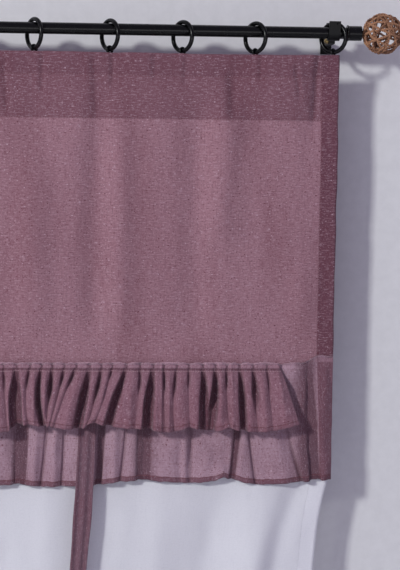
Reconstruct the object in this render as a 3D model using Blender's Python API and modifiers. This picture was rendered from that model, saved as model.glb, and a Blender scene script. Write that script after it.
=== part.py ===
"""Ruffled curtain on a rod.

A mauve panel with a turned-over heading hangs from eleven rings on a slim rod.
Two ruffles, two ties and a sheer lower panel are sewn into the seam along its foot.

Frame: metres, +X to the right as seen from the front, +Y towards the wall, +Z up.
The origin is the centre of the right bracket's wall plate, on its back face.
"""

import math
import random
from collections import namedtuple

import bmesh
import bpy
from mathutils import Matrix

# Rod, seen from the wall: its axis runs along X
ROD_RADIUS = 0.008
ROD_FORWARD = 0.070
ROD_ABOVE_PLATE = 0.008
ROD_OVERHANG = 0.0182
CLEARANCE = 0.0003

# Rings and the small eye at the foot of each
RING_MEAN_RADIUS = 0.01975
RING_WIRE_RADIUS = 0.00275
EYE_MEAN_RADIUS = 0.0046
EYE_WIRE_RADIUS = 0.00125
EYE_SLACK = 0.0002
FACET_ROOM = 0.00025

# Brackets
PLATE_WIDTH = 0.016
PLATE_HEIGHT = 0.032
PLATE_THICKNESS = 0.003
ARM_WIDTH = 0.008
ARM_HEIGHT = 0.009
ARM_BELOW_ROD = 0.0095
CRADLE_WIDTH = 0.016
CRADLE_WALL = 0.0025
CRADLE_TOP = 0.015
CRADLE_FLARE = 0.0036
SCREW_RADIUS = 0.0035
SCREW_LENGTH = 0.0055
SCREW_BEHIND_ROD = 0.020
ROD_ROOM_LENGTH = 0.032

# Finials: a turned collar and an open woven ball
COLLAR_LENGTH = 0.021
COLLAR_RADIUS = 0.0102
COLLAR_RIM_RADIUS = 0.0112
COLLAR_RIM_WIDTH = 0.002
COLLAR_EDGE = 0.0008
BALL_RADIUS = 0.0295
VINE_THICKNESS = 0.0036
VINE_DRIFT = 0.0026
STILL_POLES = 0.99
BALL_SEED = 5

# Curtain
WIDTH = 1.056
OVERHANG = 0.009
CLOTH = 0.001
TIE_CLOTH = 0.0012
SEAM_DROP = 0.434
HEADING_FRILL = 0.028
HEADING_DEPTH = 0.087
FLAT_FROM = 0.335
FLAT_AT = 0.415
UPPER_LENGTH = 0.088
LOWER_LENGTH = 0.164
PULL_IN = 0.004
HEADING_WAVE = 0.0025
END_LIFT = 0.010
STRIP_WIDTH = 0.022
STRIP_SLOPE = 0.026

# Layers at the seam, as distances in front of the panel's middle
LOWER_LAYER = 0.0014
TIE_LAYER = 0.0029
UPPER_LAYER = 0.0045
SHEER_LAYER = -0.0014
LOWER_FLARE = 0.008
UPPER_FLARE = 0.0185
TIE_FLARE = 0.0112
SHEER_FLARE = -0.005

# Ties
TIE_WIDTH = 0.025
TIE_ACROSS = (0.3495, 0.7065)
TIE_LEAN = 0.022
TIE_LEAN_LENGTH = 0.380
TIE_CREASE = 0.0013

# Sheer panel: how far its sides draw in below the mauve hem
SHEER_INSET = 0.003
SHEER_DRAW_IN = 0.026
SHEER_DRAW_FROM = 0.590
SHEER_DRAW_OVER = 0.080

ROD_Y = -ROD_FORWARD
ROD_Z = ROD_ABOVE_PLATE
SPAN = WIDTH - 2 * OVERHANG
RING_REACH = ROD_RADIUS + RING_WIRE_RADIUS + CLEARANCE + FACET_ROOM
EYE_FOOT = EYE_SLACK + EYE_MEAN_RADIUS + EYE_WIRE_RADIUS + CLEARANCE
TOP_Z = ROD_Z + RING_REACH - 2 * RING_MEAN_RADIUS - EYE_FOOT

# Rings, from the right: distance from the curtain's right edge, turn on the rod in degrees
Ring = namedtuple("Ring", "across turn")
RINGS = (
    Ring(0.0090, 50),
    Ring(0.1183, 39),
    Ring(0.2196, 38),
    Ring(0.3201, 34),
    Ring(0.4239, 32),
    Ring(0.5270, 36),
    Ring(0.6300, 30),
    Ring(0.7330, 35),
    Ring(0.8380, 29),
    Ring(0.9410, 34),
    Ring(1.0470, 50),
)

# Soft folds of a hanging panel: distances from the right edge at the top and foot of the fold,
# the drops where it begins and ends, its half width and its height towards the room
SoftFold = namedtuple("SoftFold", "top foot begin end half_width height")
PANEL_FOLDS = (
    SoftFold(0.030, 0.036, -0.10, 0.13, 0.018, -0.0040),
    SoftFold(0.044, 0.048, 0.26, 0.60, 0.018, 0.0040),
    SoftFold(0.147, 0.162, 0.04, 0.28, 0.026, 0.0050),
    SoftFold(0.214, 0.212, 0.00, 0.60, 0.030, -0.0040),
    SoftFold(0.298, 0.294, 0.05, 0.60, 0.026, 0.0040),
    SoftFold(0.346, 0.350, 0.00, 0.60, 0.024, -0.0040),
    SoftFold(0.424, 0.418, 0.16, 0.60, 0.024, 0.0060),
)
SHEER_FOLDS = (
    SoftFold(0.020, 0.120, 0.50, 1.00, 0.016, -0.0050),
    SoftFold(0.075, 0.150, 0.62, 1.20, 0.022, 0.0070),
    SoftFold(0.150, 0.190, 0.55, 1.20, 0.026, -0.0050),
    SoftFold(0.235, 0.250, 0.52, 1.20, 0.028, 0.0060),
    SoftFold(0.320, 0.300, 0.56, 1.20, 0.024, -0.0045),
    SoftFold(0.400, 0.385, 0.50, 1.20, 0.030, 0.0065),
    SoftFold(0.470, 0.460, 0.58, 1.20, 0.024, -0.0050),
)
FOLD_REPEAT = 0.500
FOLD_FADE = 4.0

# Tucks of a ruffle, from the right: distance from the right edge at the seam and at the hem, depth of the recess
# at the hem, the share of the length that it reaches, and how far the hem is drawn up there
Tuck = namedtuple("Tuck", "seam hem depth reach rise")
UPPER_END = Tuck(0.0760, 0.0500, 0.0000, 1.00, 0.0100)
UPPER_TUCKS = (
    Tuck(0.0945, 0.0870, 0.0030, 0.35, 0.0014),
    Tuck(0.1140, 0.1060, 0.0070, 0.80, 0.0000),
    Tuck(0.1334, 0.1230, 0.0090, 1.00, 0.0014),
    Tuck(0.1515, 0.1440, 0.0030, 0.30, 0.0040),
    Tuck(0.1675, 0.1710, 0.0080, 1.00, 0.0005),
    Tuck(0.1853, 0.1840, 0.0120, 1.00, 0.0014),
    Tuck(0.2050, 0.2010, 0.0030, 0.35, 0.0070),
    Tuck(0.2220, 0.2230, 0.0030, 0.45, 0.0010),
    Tuck(0.2405, 0.2400, 0.0030, 0.35, 0.0000),
    Tuck(0.2555, 0.2606, 0.0120, 1.00, 0.0040),
    Tuck(0.2740, 0.2760, 0.0040, 0.40, 0.0050),
    Tuck(0.2930, 0.3140, 0.0100, 1.00, 0.0080),
    Tuck(0.3130, 0.3300, 0.0030, 0.25, 0.0120),
    Tuck(0.3280, 0.3450, 0.0040, 0.50, 0.0055),
    Tuck(0.3447, 0.3580, 0.0090, 1.00, 0.0040),
    Tuck(0.3630, 0.3750, 0.0040, 0.50, 0.0070),
    Tuck(0.3800, 0.3880, 0.0050, 0.60, 0.0097),
    Tuck(0.3967, 0.3980, 0.0090, 0.70, 0.0070),
    Tuck(0.4116, 0.4070, 0.0030, 0.40, 0.0080),
    Tuck(0.4280, 0.4160, 0.0090, 1.00, 0.0110),
    Tuck(0.4470, 0.4370, 0.0120, 1.00, 0.0100),
)
UPPER_REPEAT = 0.3705
LOWER_END = Tuck(0.0000, 0.0000, 0.0000, 1.00, 0.0090)
LOWER_TUCKS = (
    Tuck(0.0350, 0.0190, 0.0080, 1.00, 0.0095),
    Tuck(0.0650, 0.0460, 0.0045, 1.00, 0.0060),
    Tuck(0.1170, 0.1070, 0.0035, 1.00, 0.0020),
    Tuck(0.1420, 0.1400, 0.0060, 1.00, 0.0100),
    Tuck(0.1890, 0.1850, 0.0030, 1.00, 0.0055),
    Tuck(0.2380, 0.2380, 0.0025, 1.00, 0.0100),
    Tuck(0.2820, 0.2820, 0.0035, 1.00, 0.0110),
    Tuck(0.3140, 0.3160, 0.0045, 1.00, 0.0030),
    Tuck(0.3670, 0.3670, 0.0035, 1.00, 0.0020),
    Tuck(0.3950, 0.3950, 0.0045, 1.00, 0.0010),
    Tuck(0.4210, 0.4230, 0.0035, 1.00, 0.0040),
    Tuck(0.4460, 0.4480, 0.0035, 1.00, 0.0060),
)
LOWER_REPEAT = 0.3960
SEAM_TUCK_DEPTH = 0.0010
SEAM_TUCK_START = 0.1
RECESS_CURVE = 0.8
RECESS_FADE = 0.3

# Rows of each sheet, as drops from its own top
PANEL_ROWS = (0.000, 0.028, 0.057, 0.087, 0.140, 0.205, 0.270, 0.335, 0.380, 0.415, 0.437)
UPPER_ROWS = (-0.006, 0.000, 0.022, 0.046, 0.068, 0.088)
LOWER_ROWS = (-0.006, 0.000, 0.030, 0.065, 0.100, 0.135, 0.164)
SHEER_ROWS = (0.431, 0.480, 0.540, 0.595, 0.650, 0.710, 0.790, 0.890, 1.000, 1.100)
TIE_ROWS = (-0.003, 0.020, 0.050, 0.085, 0.125, 0.165, 0.220, 0.281, 0.350, 0.420, 0.490, 0.550)

# Steps round and across
ROD_SIDES = 24
RING_STEPS = 20
RING_SIDES = 6
EYE_STEPS = 8
EYE_SIDES = 4
TURNED_STEPS = 16
CRADLE_STEPS = 10
SCREW_SIDES = 12
PANEL_COLUMNS = 62
SHEER_COLUMNS = 44
TIE_COLUMNS = 4
UPPER_COLUMNS_PER_TUCK = 3
LOWER_COLUMNS_PER_TUCK = 4


# Small helpers


def blend(a, b, share):
    return a + (b - a) * share


def smooth(share):
    share = min(max(share, 0.0), 1.0)
    return share * share * (3.0 - 2.0 * share)


def from_right(across):
    return OVERHANG - across


def make_material(name, colour, roughness, metallic=0.0):
    material = bpy.data.materials.new(name)
    material.use_nodes = True
    shader = material.node_tree.nodes["Principled BSDF"]
    shader.inputs["Base Color"].default_value = (*colour, 1.0)
    shader.inputs["Roughness"].default_value = roughness
    shader.inputs["Metallic"].default_value = metallic
    material.diffuse_color = (*colour, 1.0)
    return material


def clear_scene():
    for old in list(bpy.data.objects):
        bpy.data.objects.remove(old, do_unlink=True)


def make_collection(name):
    collection = bpy.data.collections.new(name)
    bpy.context.scene.collection.children.link(collection)
    return collection


def move_to(collection, thing):
    for old in list(thing.users_collection):
        old.objects.unlink(thing)
    collection.objects.link(thing)


def finish(thing, name, material, smooth_angle=None):
    thing.name = name
    thing.data.name = name
    thing.data.materials.clear()
    thing.data.materials.append(material)
    move_to(bpy.data.collections["ruffled_curtain"], thing)
    if smooth_angle is not None:
        thing.data.shade_smooth()
        thing.data.set_sharp_from_angle(angle=math.radians(smooth_angle))


def make_box(size, centre):
    bpy.ops.mesh.primitive_cube_add(size=1.0, location=centre)
    box = bpy.context.object
    box.data.transform(Matrix.Diagonal((*size, 1.0)))
    return box


def union(base, piece):
    move_to(bpy.data.collections["ruffled_curtain_cutters"], piece)
    piece.display_type = "WIRE"
    piece.hide_render = True
    join = base.modifiers.new("join_" + piece.name, "BOOLEAN")
    join.operation = "UNION"
    join.solver = "EXACT"
    join.object = piece


# Rod, collars and finials


def make_rod(material):
    length = SPAN + 2 * ROD_OVERHANG
    bpy.ops.mesh.primitive_cylinder_add(
        vertices=ROD_SIDES,
        radius=ROD_RADIUS,
        depth=length,
        location=(-SPAN / 2, ROD_Y, ROD_Z),
        rotation=(0.0, math.radians(90), 0.0),
    )
    finish(bpy.context.object, "rod", material, 40)


def make_collar(name, side, x_rod_end, material):
    """A turned neck, drawn as a profile that runs along X and is screwed round it."""
    start = CLEARANCE
    end = start + COLLAR_LENGTH
    profile = (
        (start, 0.0),
        (start, COLLAR_RIM_RADIUS),
        (start + COLLAR_RIM_WIDTH, COLLAR_RIM_RADIUS),
        (start + COLLAR_RIM_WIDTH + COLLAR_EDGE, COLLAR_RADIUS),
        (end - COLLAR_EDGE, COLLAR_RADIUS),
        (end, COLLAR_RADIUS - COLLAR_EDGE),
        (end, 0.0),
    )
    mesh = bpy.data.meshes.new(name)
    points = [(radius, 0.0, -along) for along, radius in profile]
    edges = [(i, i + 1) for i in range(len(points) - 1)]
    mesh.from_pydata(points, edges, [])
    collar = bpy.data.objects.new(name, mesh)
    bpy.context.scene.collection.objects.link(collar)
    screw = collar.modifiers.new("turn", "SCREW")
    screw.axis = "Z"
    screw.steps = TURNED_STEPS
    screw.render_steps = TURNED_STEPS
    screw.use_merge_vertices = True
    screw.merge_threshold = 0.00001
    collar.location = (x_rod_end, ROD_Y, ROD_Z)
    collar.rotation_euler = (0.0, -side * math.radians(90), 0.0)
    finish(collar, name, material, 40)


def make_ball(name, side, x_base, material):
    """An open ball of crossing vines: the drifted edges of a sphere, as bars."""
    bm = bmesh.new()
    radius = BALL_RADIUS - VINE_THICKNESS / 2
    bmesh.ops.create_icosphere(bm, subdivisions=2, radius=radius)
    drift = random.Random(BALL_SEED)
    for vertex in bm.verts:
        if abs(vertex.co.z) < STILL_POLES * radius:
            for axis in range(3):
                vertex.co[axis] += drift.uniform(-VINE_DRIFT, VINE_DRIFT)
            vertex.co *= radius / vertex.co.length
    mesh = bpy.data.meshes.new(name)
    bm.to_mesh(mesh)
    bm.free()
    ball = bpy.data.objects.new(name, mesh)
    bpy.context.scene.collection.objects.link(ball)
    bars = ball.modifiers.new("vines", "WIREFRAME")
    bars.thickness = VINE_THICKNESS
    bars.offset = 0.0
    bars.use_even_offset = True
    bars.use_replace = True
    ball.location = (x_base + side * (BALL_RADIUS + CLEARANCE), ROD_Y, ROD_Z)
    ball.rotation_euler = (0.0, side * math.radians(90), 0.0)
    finish(ball, name, material)


# Brackets


def cradle_outline():
    """The open cup under the rod, in the plane across it: down the outside, then up the inside."""
    inner = ROD_RADIUS + CLEARANCE
    outer = inner + CRADLE_WALL
    turns = [math.pi + math.pi * i / CRADLE_STEPS for i in range(CRADLE_STEPS + 1)]
    points = [(-outer - CRADLE_FLARE, CRADLE_TOP)]
    points += [(outer * math.cos(turn), outer * math.sin(turn)) for turn in turns]
    points += [(outer + CRADLE_FLARE, CRADLE_TOP), (inner + CRADLE_FLARE, CRADLE_TOP)]
    points += [(inner * math.cos(turn), inner * math.sin(turn)) for turn in reversed(turns)]
    points += [(-inner - CRADLE_FLARE, CRADLE_TOP)]
    return points


def make_cradle(name, x):
    outline = cradle_outline()
    curve = bpy.data.curves.new(name, "CURVE")
    curve.dimensions = "2D"
    curve.fill_mode = "BOTH"
    curve.extrude = CRADLE_WIDTH / 2
    spline = curve.splines.new("POLY")
    spline.points.add(len(outline) - 1)
    for point, (along, up) in zip(spline.points, outline):
        point.co = (along, up, 0.0, 1.0)
    spline.use_cyclic_u = True
    drawn = bpy.data.objects.new(name, curve)
    bpy.context.scene.collection.objects.link(drawn)
    drawn.location = (x, ROD_Y, ROD_Z)
    drawn.rotation_euler = (math.radians(90), 0.0, math.radians(90))
    bpy.context.view_layer.update()
    evaluated = drawn.evaluated_get(bpy.context.evaluated_depsgraph_get())
    mesh = bpy.data.meshes.new_from_object(evaluated)
    bm = bmesh.new()
    bm.from_mesh(mesh)
    bmesh.ops.remove_doubles(bm, verts=bm.verts, dist=0.00001)
    bmesh.ops.recalc_face_normals(bm, faces=bm.faces)
    bm.to_mesh(mesh)
    bm.free()
    cradle = bpy.data.objects.new(name, mesh)
    bpy.context.scene.collection.objects.link(cradle)
    cradle.matrix_world = drawn.matrix_world
    bpy.data.objects.remove(drawn, do_unlink=True)
    return cradle


def make_bracket(name, x, material):
    plate = make_box(
        (PLATE_WIDTH, PLATE_THICKNESS, PLATE_HEIGHT),
        (x, -PLATE_THICKNESS / 2, 0.0),
    )
    front = ROD_Y + ROD_RADIUS / 2
    back = -PLATE_THICKNESS / 2
    arm = make_box(
        (ARM_WIDTH, back - front, ARM_HEIGHT),
        (x, (front + back) / 2, ROD_Z - ARM_BELOW_ROD),
    )
    arm.name = name + "_arm"
    # The rod's own room is cut out of the arm, so that the cup stays open
    bpy.ops.mesh.primitive_cylinder_add(
        vertices=ROD_SIDES,
        radius=ROD_RADIUS + CLEARANCE + CRADLE_WALL / 2,
        depth=ROD_ROOM_LENGTH,
        location=(x, ROD_Y, ROD_Z),
        rotation=(0.0, math.radians(90), 0.0),
    )
    room = bpy.context.object
    room.name = name + "_room"
    move_to(bpy.data.collections["ruffled_curtain_cutters"], room)
    room.display_type = "WIRE"
    room.hide_render = True
    cut = arm.modifiers.new("room", "BOOLEAN")
    cut.operation = "DIFFERENCE"
    cut.solver = "EXACT"
    cut.object = room
    union(plate, arm)
    union(plate, make_cradle(name + "_cradle", x))
    finish(plate, name, material)


def make_bracket_screw(name, side, x, material):
    bpy.ops.mesh.primitive_cylinder_add(
        vertices=SCREW_SIDES,
        radius=SCREW_RADIUS,
        depth=SCREW_LENGTH,
        location=(
            x - side * (ARM_WIDTH / 2 + CLEARANCE + SCREW_LENGTH / 2),
            ROD_Y + SCREW_BEHIND_ROD,
            ROD_Z - ARM_BELOW_ROD,
        ),
        rotation=(0.0, math.radians(90), 0.0),
    )
    finish(bpy.context.object, name, material, 40)


# Rings


def ring_drop(ring):
    """How far a ring's centre hangs below the rod: less when it is turned so far that its sides ride on the rod."""
    straight = RING_MEAN_RADIUS - RING_REACH
    turn = math.radians(ring.turn)
    room = RING_MEAN_RADIUS ** 2 - (RING_REACH / math.cos(turn)) ** 2
    return min(straight, math.sin(turn) * math.sqrt(room))


def make_ring(number, ring, material):
    turn = math.radians(ring.turn)
    x = from_right(ring.across)
    ring_z = ROD_Z - ring_drop(ring)
    bpy.ops.mesh.primitive_torus_add(
        major_segments=RING_STEPS,
        minor_segments=RING_SIDES,
        major_radius=RING_MEAN_RADIUS,
        minor_radius=RING_WIRE_RADIUS,
        location=(x, ROD_Y, ring_z),
        rotation=(0.0, math.radians(90), turn),
    )
    finish(bpy.context.object, f"ring_{number:02d}", material, 60)
    bpy.ops.mesh.primitive_torus_add(
        major_segments=EYE_STEPS,
        minor_segments=EYE_SIDES,
        major_radius=EYE_MEAN_RADIUS,
        minor_radius=EYE_WIRE_RADIUS,
        location=(x, ROD_Y, ring_z - RING_MEAN_RADIUS - EYE_SLACK),
        rotation=(0.0, math.radians(90), turn - math.radians(90)),
    )
    finish(bpy.context.object, f"ring_eye_{number:02d}", material, 60)


# Cloth


def make_sheet(name, columns, rows, place, thickness, material):
    """A grid laid out by place(share across, drop), thickened evenly to both sides."""
    bm = bmesh.new()
    last_row = len(rows) - 1
    bmesh.ops.create_grid(bm, x_segments=columns, y_segments=last_row, size=0.5)
    for vertex in bm.verts:
        share = vertex.co.x + 0.5
        row = rows[round((0.5 - vertex.co.y) * last_row)]
        vertex.co = place(share, row)
    mesh = bpy.data.meshes.new(name)
    bm.to_mesh(mesh)
    bm.free()
    sheet = bpy.data.objects.new(name, mesh)
    bpy.context.scene.collection.objects.link(sheet)
    thicken = sheet.modifiers.new("cloth", "SOLIDIFY")
    thicken.thickness = thickness
    thicken.offset = 0.0
    thicken.use_even_offset = True
    finish(sheet, name, material, 180)


def fold_height(fold, across, drop):
    """How far one soft fold lifts the cloth at a point, with ends that fade out."""
    share = (drop - fold.begin) / (fold.end - fold.begin)
    if not 0.0 < share < 1.0:
        return 0.0
    middle = blend(fold.top, fold.foot, share)
    off = (across - middle) / fold.half_width
    ends = smooth(FOLD_FADE * share) * smooth(FOLD_FADE * (1.0 - share))
    return fold.height * math.exp(-off * off) * ends


def folds_height(folds, across, drop):
    total = 0.0
    for shift in (0.0, FOLD_REPEAT):
        total += sum(fold_height(fold, across - shift, drop) for fold in folds)
    return total


def heading_wave(across):
    """The top edge stands forward midway between rings, and sits under each ring."""
    for near, far in zip(RINGS, RINGS[1:]):
        if near.across <= across <= far.across:
            part = (across - near.across) / (far.across - near.across)
            return HEADING_WAVE * math.sin(math.pi * part) ** 2
    return 0.0


def heading_lift(across):
    """The top edge follows the feet of the rings' eyes, which hang a little unevenly."""
    across = min(max(across, RINGS[0].across), RINGS[-1].across)
    lowest = RING_MEAN_RADIUS - RING_REACH
    for near, far in zip(RINGS, RINGS[1:]):
        if across <= far.across:
            part = (across - near.across) / (far.across - near.across)
            return lowest - blend(ring_drop(near), ring_drop(far), part)


def side_draw(share, drop):
    """The sides pull in a little towards the mauve hem."""
    return PULL_IN * (1.0 - 2.0 * share) * smooth(drop / (SEAM_DROP + LOWER_LENGTH))


def place_panel(share, drop):
    across = share * WIDTH
    forward = heading_wave(across) * (1.0 - 0.5 * smooth(drop / HEADING_DEPTH))
    forward += folds_height(PANEL_FOLDS, across, drop) * smooth(drop / HEADING_FRILL)
    forward *= 1.0 - smooth((drop - FLAT_FROM) / (FLAT_AT - FLAT_FROM))
    lift = heading_lift(across) * (1.0 - smooth(drop / HEADING_DEPTH))
    return (from_right(across + side_draw(share, drop)), ROD_Y - forward, TOP_Z - drop + lift)


def all_tucks(end, tucks, repeat):
    """The shown tucks, the same run again further left, and the two ends."""
    limit = WIDTH - end.seam - (tucks[1].seam - tucks[0].seam) / 2
    run = [end]
    shift = 0.0
    while shift < WIDTH:
        for tuck in tucks:
            moved = tuck._replace(seam=tuck.seam + shift, hem=tuck.hem + shift)
            if run[-1].seam < moved.seam < limit:
                run.append(moved)
        shift += repeat
    run.append(end._replace(seam=WIDTH - end.seam, hem=WIDTH - end.hem))
    return run


def seam_lift(across):
    """The seam climbs over the flat strip at each side."""
    side = min(across, WIDTH - across)
    return END_LIFT * (1.0 - smooth((side - STRIP_WIDTH) / STRIP_SLOPE))


def recess(tuck, share):
    """How far one tuck sets the cloth back, at a share of the ruffle's length."""
    hem_depth = tuck.depth * share ** RECESS_CURVE
    if tuck.reach < 1.0:
        hem_depth = tuck.depth * 2.0 * share * (1.0 - smooth((share - tuck.reach) / RECESS_FADE))
    return SEAM_TUCK_DEPTH * smooth(share / SEAM_TUCK_START) * (1.0 - share) + hem_depth


def place_ruffle(tucks, length, layer, flare, lift_ends):
    last = len(tucks) - 1

    def place(share, drop):
        fold = min(int(share * last + 1e-6), last - 1)
        part = share * last - fold
        near, far = tucks[fold], tucks[fold + 1]
        down = max(drop, 0.0) / length
        across = blend(blend(near.seam, near.hem, down), blend(far.seam, far.hem, down), part)
        near_pull = 0.5 + 0.5 * math.cos(math.pi * min(1.0, part / 0.5))
        far_pull = 0.5 + 0.5 * math.cos(math.pi * min(1.0, (1.0 - part) / 0.5))
        forward = layer + flare * down ** 0.9
        forward -= near_pull * recess(near, down) + far_pull * recess(far, down)
        drawn_up = blend(near.rise, far.rise, part) * down
        lift = seam_lift(across) * (1.0 - down) if lift_ends else 0.0
        side = side_draw(across / WIDTH, SEAM_DROP + drop)
        z = TOP_Z - SEAM_DROP - drop + drawn_up + lift
        return (from_right(across + side), ROD_Y - forward, z)

    return place


def place_sheer(share, drop):
    below = smooth((drop - SEAM_DROP) / LOWER_LENGTH)
    draw = SHEER_DRAW_IN * (1.0 - math.exp(-max(drop - SHEER_DRAW_FROM, 0.0) / SHEER_DRAW_OVER))
    inset = SHEER_INSET + PULL_IN * below + draw
    across = blend(inset, WIDTH - inset, share)
    wave = folds_height(SHEER_FOLDS, share * WIDTH, drop)
    forward = SHEER_LAYER + SHEER_FLARE * below + wave * below
    return (from_right(across), ROD_Y - forward, TOP_Z - drop)


def place_tie(across_at_seam):
    def place(share, drop):
        lean_share = min(max(drop, 0.0) / TIE_LEAN_LENGTH, 1.0)
        lean = TIE_LEAN * (1.0 - math.cos(lean_share * math.pi / 2))
        side = TIE_WIDTH * (share - 0.5)
        across = across_at_seam + lean + side
        below = max(drop, 0.0) / LOWER_LENGTH
        crease = TIE_CREASE * math.cos(share * TIE_COLUMNS * math.pi) * smooth(below)
        forward = TIE_LAYER + TIE_FLARE * smooth(min(below, 1.0)) ** 0.8 + crease
        return (from_right(across), ROD_Y - forward, TOP_Z - SEAM_DROP - drop)

    return place


def make_cloth():
    mauve = make_material("mauve_cloth", (0.25, 0.115, 0.165), 0.9)
    mauve_ruffle = make_material("mauve_ruffle_cloth", (0.24, 0.11, 0.155), 0.9)
    mauve_lower = make_material("mauve_lower_cloth", (0.26, 0.125, 0.175), 0.9)
    tie_cloth = make_material("tie_cloth", (0.12, 0.055, 0.085), 0.9)
    sheer = make_material("sheer_cloth", (0.78, 0.78, 0.84), 0.8)

    make_sheet("front_panel", PANEL_COLUMNS, PANEL_ROWS, place_panel, CLOTH, mauve)

    upper = all_tucks(UPPER_END, UPPER_TUCKS, UPPER_REPEAT)
    upper_place = place_ruffle(upper, UPPER_LENGTH, UPPER_LAYER, UPPER_FLARE, False)
    upper_columns = UPPER_COLUMNS_PER_TUCK * (len(upper) - 1)
    make_sheet("upper_ruffle", upper_columns, UPPER_ROWS, upper_place, CLOTH, mauve_ruffle)

    lower = all_tucks(LOWER_END, LOWER_TUCKS, LOWER_REPEAT)
    lower_place = place_ruffle(lower, LOWER_LENGTH, LOWER_LAYER, LOWER_FLARE, True)
    lower_columns = LOWER_COLUMNS_PER_TUCK * (len(lower) - 1)
    make_sheet("lower_ruffle", lower_columns, LOWER_ROWS, lower_place, CLOTH, mauve_lower)

    make_sheet("sheer_panel", SHEER_COLUMNS, SHEER_ROWS, place_sheer, CLOTH, sheer)
    for name, across in zip(("tie_right", "tie_left"), TIE_ACROSS):
        make_sheet(name, TIE_COLUMNS, TIE_ROWS, place_tie(across), TIE_CLOTH, tie_cloth)


def make_fittings():
    black = make_material("black_satin_metal", (0.012, 0.012, 0.014), 0.38, 0.9)
    ring_black = make_material("black_ring_metal", (0.010, 0.010, 0.012), 0.35, 0.9)
    bracket_black = make_material("black_bracket_metal", (0.010, 0.010, 0.012), 0.45, 0.9)
    brass = make_material("brass_screw", (0.55, 0.42, 0.20), 0.35, 1.0)
    vine = make_material("brown_vine", (0.33, 0.19, 0.12), 0.65)

    make_rod(black)
    for side, word, x in ((1, "right", 0.0), (-1, "left", -SPAN)):
        rod_end = x + side * ROD_OVERHANG
        make_collar("collar_" + word, side, rod_end, black)
        make_ball("finial_" + word, side, rod_end + side * (COLLAR_LENGTH + CLEARANCE), vine)
        make_bracket("bracket_" + word, x, bracket_black)
        make_bracket_screw("bracket_screw_" + word, side, x, brass)
    for number, ring in enumerate(RINGS, start=1):
        make_ring(number, ring, ring_black)


def main():
    clear_scene()
    make_collection("ruffled_curtain")
    make_collection("ruffled_curtain_cutters")
    make_fittings()
    make_cloth()


main()
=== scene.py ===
"""Looks of the ruffled curtain on its rod: woven cloth, sewing, rings, fittings, light and camera.

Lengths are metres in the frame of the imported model: +X to the right, +Y to the wall, +Z up.
On every cloth, across is measured from the curtain's right edge and drop from its top edge.
"""

import math
import random
from collections import namedtuple

import bmesh
import bpy
from mathutils import Matrix, Vector, noise


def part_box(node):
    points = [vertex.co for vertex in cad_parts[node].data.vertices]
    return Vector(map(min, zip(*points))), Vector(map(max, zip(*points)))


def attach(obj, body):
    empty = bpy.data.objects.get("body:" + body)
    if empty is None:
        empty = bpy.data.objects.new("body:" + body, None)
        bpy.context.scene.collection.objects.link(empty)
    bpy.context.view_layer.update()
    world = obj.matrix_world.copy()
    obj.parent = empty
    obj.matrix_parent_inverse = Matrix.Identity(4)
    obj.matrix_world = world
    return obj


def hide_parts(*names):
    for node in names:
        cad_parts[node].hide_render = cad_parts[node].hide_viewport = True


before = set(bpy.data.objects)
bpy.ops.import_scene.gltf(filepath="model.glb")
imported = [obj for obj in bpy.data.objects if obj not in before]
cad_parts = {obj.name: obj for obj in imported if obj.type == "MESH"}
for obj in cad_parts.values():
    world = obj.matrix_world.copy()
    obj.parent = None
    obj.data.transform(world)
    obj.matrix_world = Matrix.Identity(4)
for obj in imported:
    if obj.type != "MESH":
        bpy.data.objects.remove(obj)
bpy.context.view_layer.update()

bl_info = {
    "name": "Ruffled Curtain",
    "version": (1, 0, 0),
    "blender": (4, 5, 0),
    "location": "View3D > Sidebar > Curtain",
    "description": "Dresses a packed curtain model with cloth, sewing, rings and fittings",
    "category": "Object",
}

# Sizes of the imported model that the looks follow
ROD_LOW, ROD_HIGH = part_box("rod")
ROD_Y = (ROD_LOW.y + ROD_HIGH.y) / 2
ROD_Z = (ROD_LOW.z + ROD_HIGH.z) / 2
ROD_RADIUS = 0.008
CLEARANCE = 0.0003
WIDTH = 1.056
OVERHANG = 0.009
SPAN = WIDTH - 2 * OVERHANG
ROD_OVERHANG = 0.0182

RING_MEAN_RADIUS = 0.01975
RING_WIRE_RADIUS = 0.00275
EYE_MEAN_RADIUS = 0.0046
EYE_WIRE_RADIUS = 0.00125
EYE_SLACK = 0.0002
RING_THICKNESS = 0.0060
EYE_THICKNESS = 0.0028
RING_REACH = ROD_RADIUS + RING_WIRE_RADIUS + CLEARANCE + 0.00025
EYE_FOOT = EYE_SLACK + EYE_MEAN_RADIUS + EYE_WIRE_RADIUS + CLEARANCE
TOP_Z = ROD_Z + RING_REACH - 2 * RING_MEAN_RADIUS - EYE_FOOT

ROD_LENGTH = SPAN + 2 * ROD_OVERHANG
SIDES = (("right", 1, 0.0), ("left", -1, -SPAN))
PLATE_WIDTH = 0.016
PLATE_HEIGHT = 0.032
PLATE_THICKNESS = 0.003
ARM_WIDTH = 0.008
ARM_HEIGHT = 0.009
ARM_BELOW_ROD = 0.0095
CRADLE_WIDTH = 0.016
CRADLE_WALL = 0.0025
CRADLE_TOP = 0.015
CRADLE_FLARE = 0.0036
SCREW_RADIUS = 0.0035
SCREW_LENGTH = 0.0055
SCREW_BEHIND_ROD = 0.020
COLLAR_LENGTH = 0.021
COLLAR_RADIUS = 0.0102
COLLAR_RIM_RADIUS = 0.0112
COLLAR_RIM_WIDTH = 0.002
BALL_RADIUS = 0.0295

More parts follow.
